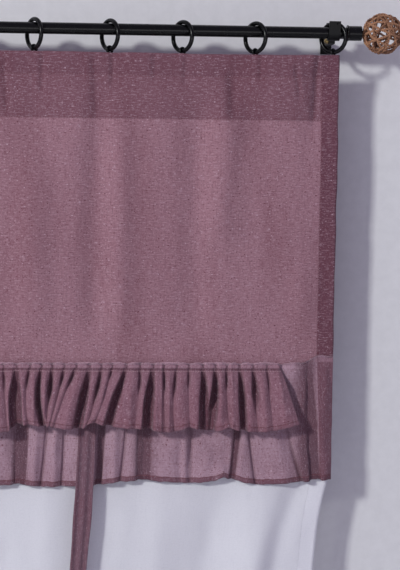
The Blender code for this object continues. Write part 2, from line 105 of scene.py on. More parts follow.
SEAM_DROP = 0.434
PANEL_FOOT = 0.437
HEADING_FRILL = 0.028
HEADING_DEPTH = 0.087
FLAT_FROM = 0.335
FLAT_AT = 0.415
SEAM_ALLOWANCE = 0.006
STRIP_ON_FLAT = 0.0330
UPPER_LENGTH = 0.088
LOWER_LENGTH = 0.167
SHEER_TOP = 0.431
SHEER_FOOT = 1.100
PULL_IN = 0.002
HEADING_WAVE = 0.0025
EYE_COVER = 0.0042
TOP_RISE = 0.0024
END_LIFT = 0.010
SIDE_HEM = 0.0236
RUFFLE_HEM = 0.0062
SHEER_SIDE_HEM = 0.0236
SHEER_FOOT_HEM = 0.030

# Layers at the seam, as distances in front of the panel's middle
LOWER_LAYER = 0.0014
TIE_LAYER = 0.0029
UPPER_LAYER = 0.0045
SHEER_LAYER = -0.0014
LOWER_FLARE = 0.004
UPPER_FLARE = 0.0270
TIE_FLARE = 0.0112
SHEER_FLARE = -0.005

TIE_WIDTH = 0.025
TIE_FOOT = 0.550
TIE_ACROSS = (0.3470, 0.7065)
TIE_LEAN = 0.022
TIE_LEAN_LENGTH = 0.380
TIE_CREASE = 0.0013
TIE_HEM = 0.008

SHEER_INSET = 0.001
SHEER_DRAW_IN = 0.026
SHEER_DRAW_FROM = 0.590
SHEER_DRAW_OVER = 0.080

# Flat sizes before gathering and hemming: width and length of each cut
UPPER_CUT = (1.300, 0.100)
LOWER_CUT = (1.300, 0.180)
TIE_CUT = (0.027, 0.560)

# Rings, from the right: distance from the curtain's right edge, turn on the rod in degrees
Ring = namedtuple("Ring", "across turn")
RINGS = (
    Ring(0.0090, 50),
    Ring(0.1183, 39),
    Ring(0.2196, 38),
    Ring(0.3201, 34),
    Ring(0.4239, 32),
    Ring(0.5270, 36),
    Ring(0.6300, 30),
    Ring(0.7330, 35),
    Ring(0.8380, 29),
    Ring(0.9410, 34),
    Ring(1.0470, 50),
)

# Soft folds: distances from the right edge at the top and foot, the drops where the fold begins and ends,
# its half width and its height towards the room
SoftFold = namedtuple("SoftFold", "top foot begin end half_width height")
PANEL_FOLDS = (
    SoftFold(0.030, 0.036, -0.10, 0.13, 0.018, -0.0050),
    SoftFold(0.044, 0.048, 0.26, 0.60, 0.018, 0.0046),
    SoftFold(0.154, 0.170, 0.04, 0.28, 0.022, 0.0066),
    SoftFold(0.197, 0.195, 0.00, 0.60, 0.022, -0.0060),
    SoftFold(0.305, 0.301, 0.02, 0.60, 0.018, 0.0064),
    SoftFold(0.337, 0.341, 0.00, 0.60, 0.018, -0.0056),
    SoftFold(0.428, 0.422, 0.10, 0.60, 0.024, 0.0070),
)
SHEER_FOLDS = (
    SoftFold(0.080, 0.105, 0.48, 1.30, 0.036, 0.0110),
    SoftFold(0.020, 0.120, 0.50, 1.00, 0.016, -0.0050),
    SoftFold(0.075, 0.150, 0.62, 1.20, 0.022, 0.0070),
    SoftFold(0.150, 0.190, 0.55, 1.20, 0.026, -0.0050),
    SoftFold(0.235, 0.250, 0.52, 1.20, 0.028, 0.0060),
    SoftFold(0.320, 0.300, 0.56, 1.20, 0.024, -0.0045),
    SoftFold(0.400, 0.385, 0.50, 1.20, 0.030, 0.0065),
    SoftFold(0.470, 0.460, 0.58, 1.20, 0.024, -0.0050),
)
FOLD_REPEAT = 0.500

# Sharper creases that the rings pull into the heading, in the same columns
HEADING_CREASES = (
    SoftFold(0.0290, 0.0350, -0.030, 0.100, 0.0024, -0.0030),
    SoftFold(0.0400, 0.0440, -0.020, 0.110, 0.0050, 0.0012),
    SoftFold(0.0630, 0.0540, 0.006, 0.064, 0.0026, -0.0022),
    SoftFold(0.0560, 0.0480, 0.010, 0.080, 0.0050, 0.0012),
    SoftFold(0.1105, 0.1115, -0.020, 0.036, 0.0026, -0.0018),
    SoftFold(0.1520, 0.1500, 0.012, 0.096, 0.0070, -0.0026),
    SoftFold(0.2150, 0.2170, -0.004, 0.044, 0.0030, -0.0014),
    SoftFold(0.2600, 0.2590, -0.006, 0.040, 0.0030, -0.0014),
    SoftFold(0.3170, 0.3180, -0.020, 0.050, 0.0022, -0.0024),
    SoftFold(0.3440, 0.3390, -0.010, 0.100, 0.0050, -0.0018),
    SoftFold(0.4130, 0.4150, -0.010, 0.060, 0.0028, -0.0020),
    SoftFold(0.4660, 0.4620, 0.000, 0.090, 0.0040, -0.0020),
)

# Tucks of a ruffle, from the right: distances from the right edge at the seam, halfway down and at the hem,
# half width and depth of the recess, the share of the length that it reaches, and how far it draws up the hem
Tuck = namedtuple("Tuck", "seam middle hem wide depth reach rise")
UPPER_END = Tuck(0.0760, 0.0625, 0.0500, 0.0, 0.0, 1.00, 0.0100)
UPPER_TUCKS = (
    Tuck(0.0945, 0.0912, 0.0870, 0.0012, 0.0045, 0.45, 0.0014),
    Tuck(0.1140, 0.1115, 0.1085, 0.0042, 0.0090, 0.80, 0.0000),
    Tuck(0.1334, 0.1306, 0.1285, 0.0038, 0.0110, 1.00, 0.0014),
    Tuck(0.1515, 0.1522, 0.1480, 0.0016, 0.0060, 0.42, 0.0040),
    Tuck(0.1675, 0.1703, 0.1765, 0.0050, 0.0130, 1.00, 0.0005),
    Tuck(0.1853, 0.1845, 0.1860, 0.0050, 0.0130, 1.00, 0.0014),
    Tuck(0.2050, 0.2060, 0.2040, 0.0015, 0.0050, 0.42, 0.0070),
    Tuck(0.2220, 0.2275, 0.2265, 0.0017, 0.0060, 0.55, 0.0010),
    Tuck(0.2405, 0.2403, 0.2390, 0.0017, 0.0055, 0.45, 0.0000),
    Tuck(0.2555, 0.2613, 0.2642, 0.0060, 0.0135, 1.00, 0.0040),
    Tuck(0.2740, 0.2762, 0.2810, 0.0023, 0.0060, 0.50, 0.0050),
    Tuck(0.2930, 0.3072, 0.3190, 0.0048, 0.0115, 1.00, 0.0080),
    Tuck(0.3130, 0.3239, 0.3370, 0.0013, 0.0050, 0.26, 0.0120),
    Tuck(0.3280, 0.3368, 0.3485, 0.0027, 0.0080, 0.65, 0.0055),
    Tuck(0.3447, 0.3533, 0.3614, 0.0052, 0.0130, 1.00, 0.0040),
    Tuck(0.3630, 0.3812, 0.3950, 0.0030, 0.0070, 0.40, 0.0070),
    Tuck(0.3800, 0.3890, 0.4000, 0.0022, 0.0070, 0.40, 0.0097),
    Tuck(0.3967, 0.4012, 0.4045, 0.0034, 0.0100, 0.70, 0.0070),
    Tuck(0.4116, 0.4165, 0.4085, 0.0030, 0.0100, 1.00, 0.0080),
    Tuck(0.4280, 0.4330, 0.4288, 0.0017, 0.0060, 0.45, 0.0110),
    Tuck(0.4470, 0.4480, 0.4455, 0.0075, 0.0130, 1.00, 0.0100),
)
UPPER_REPEAT = 0.3705
LOWER_END = Tuck(0.0, 0.0, 0.0, 0.0, 0.0, 1.00, 0.0054)
LOWER_TUCKS = (
    Tuck(0.0341, 0.0292, 0.0229, 0.0062, 0.0100, 1.00, 0.0056),
    Tuck(0.0737, 0.0653, 0.0420, 0.0008, 0.0026, 1.00, 0.0022),
    Tuck(0.1223, 0.1195, 0.1077, 0.0008, 0.0022, 1.00, -0.0012),
    Tuck(0.1307, 0.1341, 0.1425, 0.0030, 0.0070, 1.00, 0.0070),
    Tuck(0.1988, 0.2002, 0.2022, 0.0010, 0.0024, 1.00, 0.0014),
    Tuck(0.2655, 0.2669, 0.2683, 0.0095, 0.0022, 1.00, 0.0066),
    Tuck(0.2905, 0.2926, 0.3016, 0.0010, 0.0022, 1.00, 0.0044),
    Tuck(0.3239, 0.3267, 0.3322, 0.0035, 0.0060, 1.00, -0.0006),
    Tuck(0.3781, 0.3797, 0.3836, 0.0008, 0.0020, 1.00, -0.0020),
    Tuck(0.4017, 0.4045, 0.4135, 0.0010, 0.0026, 1.00, -0.0024),
    Tuck(0.4392, 0.4392, 0.4434, 0.0080, 0.0055, 1.00, 0.0006),
)
LOWER_REPEAT = 0.3960
RECESS_WALL = 0.0026
BULGE_DEPTH = 0.0048
# Setbacks and crease depth at which the painted shade of recesses and creases is full
UPPER_DARK_SETBACK = 0.0105
LOWER_DARK_SETBACK = 0.0060
CREASE_DARK_DEPTH = 0.0024
GATHER_LINE = 0.0030
GATHER_STITCHES = 0.0062
GATHER_PITCH = 0.0027

# Overlock thread: the drops between which it zigzags, its pitch and its unevenness
RAW_EDGE = (-0.0062, -0.0040)
SERGING_PITCH = 0.0016
SERGING_SHAKE = 0.0003

# Narrow ridges and creases of the ruffles, as soft folds with drops measured from the seam
UPPER_RIDGES = (
    SoftFold(0.0820, 0.0660, -0.020, 0.110, 0.0024, 0.0018),
    SoftFold(0.1030, 0.0960, 0.000, 0.100, 0.0040, 0.0014),
    SoftFold(0.1455, 0.1445, -0.020, 0.110, 0.0020, 0.0022),
    SoftFold(0.1600, 0.1620, -0.020, 0.110, 0.0036, 0.0014),
    SoftFold(0.2330, 0.2350, -0.010, 0.110, 0.0018, 0.0020),
    SoftFold(0.2440, 0.2455, -0.020, 0.110, 0.0016, 0.0022),
    SoftFold(0.2830, 0.2920, -0.020, 0.110, 0.0050, 0.0018),
    SoftFold(0.3170, 0.3380, -0.010, 0.110, 0.0034, 0.0018),
    SoftFold(0.3560, 0.3840, -0.010, 0.110, 0.0040, 0.0020),
    SoftFold(0.4060, 0.4080, 0.000, 0.080, 0.0018, 0.0022),
    SoftFold(0.4220, 0.4220, -0.010, 0.110, 0.0016, 0.0026),
)
LOWER_RIDGES = (
    SoftFold(0.0560, 0.0380, -0.050, 0.080, 0.0060, 0.0030),
    SoftFold(0.0880, 0.0720, 0.020, 0.200, 0.0120, 0.0020),
    SoftFold(0.1440, 0.1440, 0.040, 0.200, 0.0050, 0.0024),
    SoftFold(0.2080, 0.2100, 0.000, 0.200, 0.0034, 0.0032),
    SoftFold(0.2160, 0.2180, 0.000, 0.200, 0.0030, -0.0016),
    SoftFold(0.2400, 0.2420, 0.020, 0.130, 0.0060, -0.0026),
    SoftFold(0.3060, 0.3120, 0.030, 0.200, 0.0060, 0.0028),
    SoftFold(0.3900, 0.3960, 0.000, 0.200, 0.0050, 0.0024),
    SoftFold(0.4130, 0.4250, 0.000, 0.200, 0.0050, 0.0022),
)

# Patches of painted shade on the lower ruffle, where its deep folds and the upper ruffle shade it, as soft
# folds whose height is the darkness
LOWER_SHADES = (
    SoftFold(0.0350, 0.0315, -0.090, 0.250, 0.0115, 1.00),
    SoftFold(0.0490, 0.0450, -0.070, 0.250, 0.0095, 0.55),
    SoftFold(0.1390, 0.1430, 0.030, 0.190, 0.0036, 0.60),
    SoftFold(0.2040, 0.2060, 0.040, 0.130, 0.0046, 0.30),
    SoftFold(0.2670, 0.2680, -0.030, 0.220, 0.0145, 0.90),
    SoftFold(0.3300, 0.3350, 0.000, 0.240, 0.0050, 0.50),
    SoftFold(0.4450, 0.4480, -0.060, 0.250, 0.0140, 0.65),
)

# Small curls of a ruffle's hem: distance from the right edge, half width, how far forward and how far up
Curl = namedtuple("Curl", "across half_width forward up")
UPPER_CURLS = (
    Curl(0.1500, 0.0060, 0.0040, 0.0040),
    Curl(0.3440, 0.0075, 0.0050, 0.0060),
    Curl(0.5300, 0.0060, 0.0040, 0.0040),
    Curl(0.7200, 0.0070, 0.0050, 0.0050),
    Curl(0.9000, 0.0060, 0.0040, 0.0040),
)
LOWER_CURLS = (
    Curl(0.1555, 0.0070, 0.0050, 0.0050),
    Curl(0.5500, 0.0070, 0.0050, 0.0050),
    Curl(0.8300, 0.0060, 0.0040, 0.0040),
)

# Camera: the photo is 400 by 570 pixels, taken from a little left of the curtain and above its middle
CAMERA_PLACE = Vector((-0.3244, -2.0799, -0.1868))
CAMERA_YAW = 4.03
CAMERA_PITCH = 4.49
CAMERA_ROLL = 0.615
CAMERA_LENS = 90.95
CAMERA_SENSOR = 36.0

# Ways from the curtain to the lights
KEY_DIRECTION = Vector((-0.83, -1.0, 0.533))
PANEL_AWAY = Vector((0.0, -3.0, -0.75))
REAR_AWAY = Vector((0.6, 3.0, 0.9))
PANEL_SIZE = (3.2, 0.5)
REAR_SIZE = (2.0, 2.0)
KEY_COLOUR = (0.98, 1.0, 0.97)

# Backdrop: the floor's depth below the curtain, how far it reaches, its bend, its place and its top
FLOOR_BELOW = 0.12
BACKDROP_REACH = 4.0
BACKDROP_BEND = 0.25
BACKDROP_BEND_STEPS = 12
BACKDROP_BEHIND = 0.001
BACKDROP_TOP = 2.2

# Fineness of the meshes: columns of the cloths, and steps and sides of what is round
TIE_COLUMNS = 16
VOILE_COLUMNS = 230
UPPER_TUCK_COLUMNS = 17
LOWER_TUCK_COLUMNS = 24
RING_STEPS = (60, 16)
EYE_STEPS = (28, 12)
TURNED_STEPS = 64
CUP_STEPS = 24
HOLE_STEPS = 24
VINE_STEPS = 132
VINE_SIDES = 6

# Angles in degrees from which an edge stays sharp
TURNED_SHARP = 50
BRACKET_SHARP = 42

# Screw hole in each cup: its place from the rod's middle, its radius and its depth
HOLE_PLACE = (0.0035, -0.020, 0.0115)
HOLE_RADIUS = 0.0013
HOLE_DEPTH = 0.014


# Settings that a user would change


def number_setting(name, description, default, **kind):
    return bpy.props.FloatProperty(name=name, description=description, default=default, min=0.0, **kind)


def size_setting(name, description, default):
    return number_setting(name, description, default, subtype="DISTANCE", unit="LENGTH")


def power_setting(name, description, default):
    return number_setting(name, description, default, unit="POWER")


def colour_setting(name, description, default):
    return bpy.props.FloatVectorProperty(
        name=name, description=description, default=default, size=3, min=0.0, max=1.0, subtype="COLOR"
    )


class CurtainSizes(bpy.types.PropertyGroup):
    """Sizes of the fine meshes and of the sewing."""

    cell: size_setting("Cloth cell", "Width of one face of the panel's mesh", 0.0032)
    cloth: size_setting("Cloth thickness", "Thickness of the woven cloth", 0.0006)
    stitch: size_setting("Stitch pitch", "Distance from one stitch to the next", 0.0036)
    thread: size_setting("Thread radius", "Radius of the sewing thread", 0.00022)
    vine: size_setting("Vine radius", "Radius of one vine strand of the ball", 0.0015)
    vine_count: bpy.props.IntProperty(
        name="Vine strands", description="Strands woven round each ball", default=15, min=3, max=40
    )


class CurtainColours(bpy.types.PropertyGroup):
    """Colours of the cloths, the thread and the fittings."""

    mauve: colour_setting("Mauve", "A single layer of the mauve cloth", (0.320, 0.167, 0.205))
    mauve_pale: colour_setting("Pale thread", "Slubs and pale threads of the mauve cloth", (0.58, 0.42, 0.49))
    mauve_frill: colour_setting("Upper ruffle", "The gathered upper ruffle", (0.252, 0.124, 0.162))
    mauve_deep: colour_setting("Plum thread", "Dark threads of the mauve cloth", (0.135, 0.038, 0.055))
    mauve_double: colour_setting("Doubled mauve", "Two layers of the mauve cloth", (0.134, 0.049, 0.072))
    # Painted light: the lower ruffle's single layer, painted lighter and greyer than the panel to stand for
    # the light that shows through it from behind
    mauve_lit_through: colour_setting("Lower ruffle", "The half see-through lower ruffle", (0.395, 0.252, 0.312))
    tie: colour_setting("Tie", "The doubled cloth of the ties", (0.163, 0.087, 0.116))
    voile: colour_setting("Voile", "The white, see-through lower panel", (0.90, 0.90, 0.955))
    thread: colour_setting("Sewing thread", "Thread of the seams and hems", (0.50, 0.30, 0.35))
    # Painted shade: the dark colour that recesses, slots and creases are painted towards, standing in for the
    # shade that falls there
    mauve_painted_shade: colour_setting("Recess", "Cloth that lies double between bulges", (0.074, 0.025, 0.041))
    pale_thread: colour_setting("Serging thread", "Thread over the raw edges", (0.70, 0.44, 0.54))
    plum_thread: colour_setting("Hem thread", "Thread of the ruffles' hems", (0.26, 0.085, 0.110))
    black: colour_setting("Black paint", "Paint of the rod, rings and brackets", (0.0014, 0.0014, 0.0019))
    brass: colour_setting("Brass", "The bracket screws", (0.50, 0.38, 0.17))
    vine: colour_setting("Vine", "Sunlit bark of the woven balls", (0.46, 0.235, 0.130))
    vine_dark: colour_setting("Dark vine", "Cracks and shaded bark of the balls", (0.085, 0.032, 0.018))
    wall: colour_setting("Backdrop", "Pale floor and backdrop", (0.745, 0.745, 0.765))


class CurtainLight(bpy.types.PropertyGroup):
    """Soft studio light."""

    power: power_setting("Key power", "Power of the key light", 124.0)
    size: size_setting("Key size", "Side of the square key light", 0.42)
    distance: size_setting("Key distance", "Distance from the key light to the curtain", 4.64)
    fill: number_setting("Fill", "Strength of the even light from all round", 0.90)
    fill_colour: colour_setting("Fill colour", "Colour of the even light", (0.345, 0.318, 0.428))
    panel: power_setting("Low panel", "Power of the panel that draws a line of light along the rod", 20.0)
    rear: power_setting("Rear light", "Power of the soft light behind the curtain", 24.0)


# Small sums


def blend(a, b, share):
    return a + (b - a) * share


def smooth(share):
    share = min(max(share, 0.0), 1.0)
    return share * share * (3.0 - 2.0 * share)


def hump(offset, half_width):
    return math.exp(-((offset / half_width) ** 2))


def from_right(across):
    return OVERHANG - across


def grid_rows(end, *stretches):
    """The drops of a sheet's rows. A stretch says where it begins and how high its cells are."""
    rows = []
    for (start, cell), (stop, _) in zip(stretches, stretches[1:] + ((end, None),)):
        count = max(1, round((stop - start) / cell))
        rows += [blend(start, stop, i / count) for i in range(count)]
    return rows + [end]


def opaque(colour):
    return (*colour, 1.0)


# Shader wiring


class Wiring:
    """Adds nodes to one tree. Most methods return the new node's output."""

    def __init__(self, tree):
        self.tree = tree

    def node(self, kind, values=(), output=0, **settings):
        made = self.tree.nodes.new(kind)
        for key, value in settings.items():
            setattr(made, key, value)
        for place, value in values.items() if isinstance(values, dict) else enumerate(values):
            if isinstance(value, bpy.types.NodeSocket):
                self.tree.links.new(value, made.inputs[place])
            elif value is not None:
                made.inputs[place].default_value = value
        return made.outputs[output]

    def math(self, operation, a, b=None, clamp=False):
        return self.node("ShaderNodeMath", (a, b), operation=operation, use_clamp=clamp)

    def times(self, a, b):
        return self.math("MULTIPLY", a, b)

    def plus(self, a, b, clamp=False):
        return self.math("ADD", a, b, clamp)

    def minus(self, a, b):
        return self.math("SUBTRACT", a, b)

    def scaled(self, vector, *by):
        return self.node("ShaderNodeVectorMath", (vector, by), operation="MULTIPLY")

    def parts(self, vector):
        """The outputs for the three parts of a vector."""
        return self.node("ShaderNodeSeparateXYZ", (vector,)).node.outputs

    def place(self):
        """Where a point is on its own piece."""
        return self.node("ShaderNodeTexCoord", output="Object")

    def flat(self, name="cloth"):
        """Where a point is on one of its piece's maps."""
        return self.node("ShaderNodeUVMap", uv_map=name)

    def noise(self, vector, scale=1.0, detail=2.0, roughness=0.5):
        return self.node("ShaderNodeTexNoise", (vector, None, scale, detail, roughness))

    def step(self, value, low, high):
        return self.node("ShaderNodeMapRange", (value, low, high, 0.0, 1.0), interpolation_type="SMOOTHSTEP")

    def mix(self, share, a, b):
        """A mix of two colours, whose sockets have the numbers 6 and 7 and the result 2."""
        return self.node("ShaderNodeMix", {0: share, 6: a, 7: b}, output=2, data_type="RGBA")

    def group(self, name, **values):
        """The outputs of a shared group."""
        return self.node("ShaderNodeGroup", values, node_tree=shader_group(name)).node.outputs

    def put_out(self, **results):
        """Gives a group its outputs: Color is a colour, and the others are numbers."""
        for name in results:
            kind = "NodeSocketColor" if name == "Color" else "NodeSocketFloat"
            self.tree.interface.new_socket(name=name, in_out="OUTPUT", socket_type=kind)
        ends = self.tree.nodes.new("NodeGroupOutput").inputs
        for name, value in results.items():
            self.tree.links.new(value, ends[name])
        return self.tree


SOCKET_KINDS = {1: "NodeSocketFloat", 3: "NodeSocketVector", 4: "NodeSocketColor"}
ORIGIN = (0.0, 0.0, 0.0)


def new_group(name, **inputs):
    """The wiring and inputs of a new shader group: a number, or three for a vector or four for a colour."""
    tree = bpy.data.node_groups.new(name, "ShaderNodeTree")
    for socket, value in inputs.items():
        kind = SOCKET_KINDS[1 if isinstance(value, float) else len(value)]
        tree.interface.new_socket(name=socket, in_out="INPUT", socket_type=kind).default_value = value
    return Wiring(tree), tree.nodes.new("NodeGroupInput").outputs


def slub_weave_group():
    """Plain weave with slubs: streaked threads both ways, specks, soft clouds and thread relief. The clouds
    are long soft darker bands down the cloth: partly random tone and partly painted shade of soft folds.
    """
    wires, given = new_group(
        "slub_weave", Cloth=ORIGIN, Base=(0.4, 0.2, 0.25, 1.0), Pale=(0.6, 0.4, 0.5, 1.0),
        Deep=(0.2, 0.06, 0.09, 1.0), Slubs=0.5, Specks=0.5, Clouds=0.3, Threads=1250.0,
    )
    cloth = given["Cloth"]
    weft = wires.noise(wires.scaled(cloth, 120.0, 560.0, 0.0), detail=3.0)
    warp = wires.noise(wires.scaled(cloth, 430.0, 40.0, 0.0))
    grain = wires.noise(cloth, 440.0, 3.0, 0.7)
    speck = wires.noise(wires.scaled(cloth, 290.0, 420.0, 0.0), detail=0.0)
    # Long soft darker clouds down the cloth: partly random tone and partly painted shade of soft folds
    cloud = wires.noise(wires.scaled(cloth, 12.0, 3.0, 0.0))

    # A pattern, where it starts and is full, the input that weighs it, its own weight and its colour
    colour = given["Base"]
    for pattern, start, full, weighed_by, weight, towards in (
        (cloud, 0.42, 0.66, "Clouds", 1.00, "Deep"),
        (warp, 0.50, 0.70, "Slubs", 0.42, "Deep"),
        (weft, 0.46, 0.28, "Slubs", 0.60, "Deep"),
        (weft, 0.51, 0.70, "Slubs", 0.44, "Pale"),
        (grain, 0.46, 0.30, "Specks", 0.80, "Deep"),
        (grain, 0.55, 0.72, "Specks", 0.50, "Pale"),
        (speck, 0.27, 0.18, "Specks", 1.00, "Deep"),
        (speck, 0.73, 0.84, "Specks", 0.60, "Pale"),
    ):
        share = wires.times(wires.step(pattern, start, full), wires.times(given[weighed_by], weight))
        colour = wires.mix(share, colour, given[towards])

    turn = wires.times(given["Threads"], math.pi)
    waves = [wires.math("SINE", wires.times(way, turn)) for way in list(wires.parts(cloth))[:2]]
    relief = wires.plus(wires.times(wires.times(*waves), 0.25), wires.times(weft, 0.9))
    relief = wires.plus(relief, wires.times(grain, 0.6))
    return wires.put_out(Color=colour, Height=relief, Grain=grain)


def edge_distance_group():
    """How far a point of a cloth lies from its nearer side, its top and its foot."""
    wires, given = new_group("edge_distance", Cloth=ORIGIN, Width=1.0, Length=1.0)
    across, drop, _ = wires.parts(given["Cloth"])
    side = wires.math("MINIMUM", across, wires.minus(given["Width"], across))
    return wires.put_out(Side=side, Top=drop, Foot=wires.minus(given["Length"], drop))


def hem_band_group():
    """1 inside a band along an edge, and a thin mask of the line where it is sewn down."""
    wires, given = new_group("hem_band", Distance=0.0, Depth=0.02, Soft=0.0006, Line=0.0009)
    from_line = wires.minus(given["Distance"], given["Depth"])
    inside = wires.math("DIVIDE", from_line, given["Soft"])
    near = wires.math("DIVIDE", wires.math("ABSOLUTE", from_line), given["Line"])
    return wires.put_out(Band=wires.step(inside, 1.0, -1.0), Sewn=wires.step(near, 1.0, 0.3))


def satin_paint_group():
    """Painted or bare metal: faint dust, handling marks and a fine orange peel."""
    wires, given = new_group(
        "satin_paint", Place=ORIGIN, Paint=(0.01, 0.01, 0.012, 1.0), Dust=(0.10, 0.10, 0.11, 1.0),
        Dustiness=0.2, Gloss=0.35,
    )
    place = given["Place"]
    marks = wires.noise(place, 95.0, 4.0, 0.6)
    dust = wires.step(wires.noise(place, 1500.0, 1.0), 0.62, 0.78)
    share = wires.plus(wires.times(dust, given["Dustiness"]), wires.times(wires.step(marks, 0.5, 0.8), 0.10))
    rough = wires.plus(given["Gloss"], wires.times(marks, 0.12))
    return wires.put_out(
        Color=wires.mix(share, given["Paint"], given["Dust"]),
        Roughness=wires.plus(rough, wires.times(share, 0.2)),
        Height=wires.noise(place, 900.0),
    )


SHADER_GROUPS = {
    "slub_weave": slub_weave_group,
    "edge_distance": edge_distance_group,
    "hem_band": hem_band_group,
    "satin_paint": satin_paint_group,
}


def shader_group(name):
    """The named group, made the first time that it is asked for."""
    return bpy.data.node_groups.get(name) or SHADER_GROUPS[name]()


class Look:
    """A material, its Principled shader and its wiring. Socket names have _ for a space."""

    def __init__(self, name, **sockets):
        self.material = bpy.data.materials.new(name)
        self.material.use_nodes = True
        self.shader = self.material.node_tree.nodes["Principled BSDF"]
        self.wires = Wiring(self.material.node_tree)
        for socket, value in sockets.items():
            self.shader.inputs[socket.replace("_", " ")].default_value = value

    def finish(self, height, strength, distance, **sockets):
        """Links each socket's value and a bump, and returns the material."""
        sockets["Normal"] = self.wires.node(
            "ShaderNodeBump", {"Height": height, "Strength": strength, "Distance": distance}
        )
        for socket, value in sockets.items():
            self.wires.tree.links.new(value, self.shader.inputs[socket.replace("_", " ")])
        return self.material


def cloth_material(name, size, colours, hems, weave, shaded=0.0, serged=False, upright=False):
    """Mauve cloth, with the colours of a single and a doubled layer.

    Each hem gives an edge, its depth and its darkening. weave is the strength of the slubs, specks and
    clouds, and shaded is how dark the painted shade of the creases and recesses gets. A serged cloth has a
    pale raw top edge, and the slubs of an upright cloth run down it.
    """
    palette = bpy.context.scene.curtain_colours
    look = Look(name, Roughness=0.88, Sheen_Weight=0.12, Sheen_Roughness=0.6, Specular_IOR_Level=0.18)
    wires = look.wires
    cloth = wires.flat()
    edges = wires.group("edge_distance", Cloth=cloth, Width=size[0], Length=size[1])
    layers = sewn = 0.0
    for edge, depth, share in hems:
        hem = wires.group("hem_band", Distance=edges[edge], Depth=depth)
        layers = wires.plus(layers, wires.times(hem["Band"], share), clamp=True)
        sewn = wires.math("MAXIMUM", sewn, hem["Sewn"])
    base = wires.mix(layers, opaque(colours[0]), opaque(colours[1]))
    if serged:
        header = wires.times(wires.step(edges["Top"], 0.0092, 0.0078), 0.22)
        raw_edge = wires.times(wires.step(edges["Top"], 0.0030, 0.0008), 0.78)
        base = wires.mix(wires.plus(header, raw_edge), base, opaque(palette.pale_thread))
    # Painted shade: the recess map darkens recesses, slots and creases towards the shade colour
    if shaded:
        recess = wires.parts(wires.flat("recess"))[0]
        base = wires.mix(wires.times(recess, shaded), base, opaque(palette.mauve_painted_shade))
    run = wires.node("ShaderNodeVectorRotate", {"Vector": cloth, "Angle": math.pi / 2}) if upright else cloth
    deep = opaque(palette.mauve_deep)
    slubs, specks, clouds = weave
    woven = wires.group(
        "slub_weave", Cloth=run, Base=base, Pale=opaque(palette.mauve_pale), Deep=deep,
        Slubs=slubs, Specks=specks, Clouds=clouds,
    )
    colour = wires.mix(wires.times(sewn, 0.55), woven["Color"], deep)
    return look.finish(wires.minus(woven["Height"], wires.times(sewn, 0.8)), 0.55, 0.0006, Base_Color=colour)


def voile_material():
    palette = bpy.context.scene.curtain_colours
    look = Look("white_voile", Roughness=0.75, Sheen_Weight=0.1, Specular_IOR_Level=0.2)
    wires = look.wires
    cloth = wires.flat()
    edges = wires.group("edge_distance", Cloth=cloth, Width=WIDTH, Length=SHEER_FOOT - SHEER_TOP)
    bands = [
        wires.group("hem_band", Distance=edges[edge], Depth=depth)["Band"]
        for edge, depth in (("Side", SHEER_SIDE_HEM), ("Foot", SHEER_FOOT_HEM))
    ]
    woven = wires.group(
        "slub_weave", Cloth=cloth, Base=opaque(palette.voile), Pale=(0.92, 0.92, 0.96, 1.0),
        Deep=(0.62, 0.62, 0.70, 1.0), Slubs=0.20, Specks=0.10, Clouds=0.05, Threads=1800.0,
    )
    cover = wires.plus(0.55, wires.times(wires.plus(*bands, clamp=True), 0.12))
    cover = wires.plus(cover, wires.times(woven["Grain"], 0.10), clamp=True)
    return look.finish(woven["Height"], 0.25, 0.0004, Base_Color=woven["Color"], Alpha=cover)


def thread_material(name, colour):
    look = Look(name, Roughness=0.7, Sheen_Weight=0.2, Specular_IOR_Level=0.3)
    wires = look.wires
    twist = wires.noise(wires.scaled(wires.place(), 900.0, 900.0, 1400.0), detail=1.0)
    darker = opaque(part * 0.55 for part in colour)
    shown = wires.mix(wires.step(twist, 0.35, 0.65), darker, opaque(colour))
    return look.finish(twist, 0.4, 0.0002, Base_Color=shown)


def metal_material(name, colour, gloss, dustiness, metallic=0.0):
    look = Look(name, Roughness=gloss, Metallic=metallic, Specular_IOR_Level=0.22)
    dust = opaque(min(1.0, part * 1.5 + 0.012) for part in colour)
    wires = look.wires
    paint = wires.group(
        "satin_paint", Place=wires.place(), Paint=opaque(colour), Dust=dust, Dustiness=dustiness, Gloss=gloss
    )
    return look.finish(paint["Height"], 0.12, 0.0002, Base_Color=paint["Color"], Roughness=paint["Roughness"])


def vine_material():
    palette = bpy.context.scene.curtain_colours
    look = Look("woven_vine", Specular_IOR_Level=0.35)
    wires = look.wires
    along = wires.flat("strand")
    streaks = wires.noise(wires.scaled(along, 420.0, 9.0, 0.0), detail=4.0, roughness=0.6)
    patches = wires.noise(wires.scaled(along, 90.0, 1.5, 0.0), detail=3.0)
    bark = wires.mix(wires.step(streaks, 0.36, 0.60), opaque(palette.vine_dark), opaque(palette.vine))
    pale = opaque(min(1.0, part * 1.7) for part in palette.vine)
    bark = wires.mix(wires.times(wires.step(patches, 0.50, 0.72), 0.75), bark, pale)
    return look.finish(streaks, 0.8, 0.0008, Base_Color=bark, Roughness=wires.step(streaks, 1.2, 0.1))


def backdrop_material():
    """Plain and pale, and clear from behind, so that the back of the curtain can be looked at."""
    wall = bpy.context.scene.curtain_colours.wall
    look = Look("pale_backdrop", Roughness=0.95, Specular_IOR_Level=0.1)
    wires = look.wires
    mottle = wires.noise(wires.place(), 60.0, 5.0, 0.6)
    darker = opaque(part * 0.95 for part in wall)
    colour = wires.mix(wires.step(mottle, 0.3, 0.7), darker, opaque(wall))
    clear = wires.node("ShaderNodeBsdfTransparent")
    facing = wires.node("ShaderNodeNewGeometry", output="Backfacing")
    shown = wires.node("ShaderNodeMixShader", (facing, look.shader.outputs[0], clear))
    wires.tree.links.new(shown, look.material.node_tree.nodes["Material Output"].inputs["Surface"])
    return look.finish(mottle, 0.10, 0.001, Base_Color=colour)


# Placing finished pieces


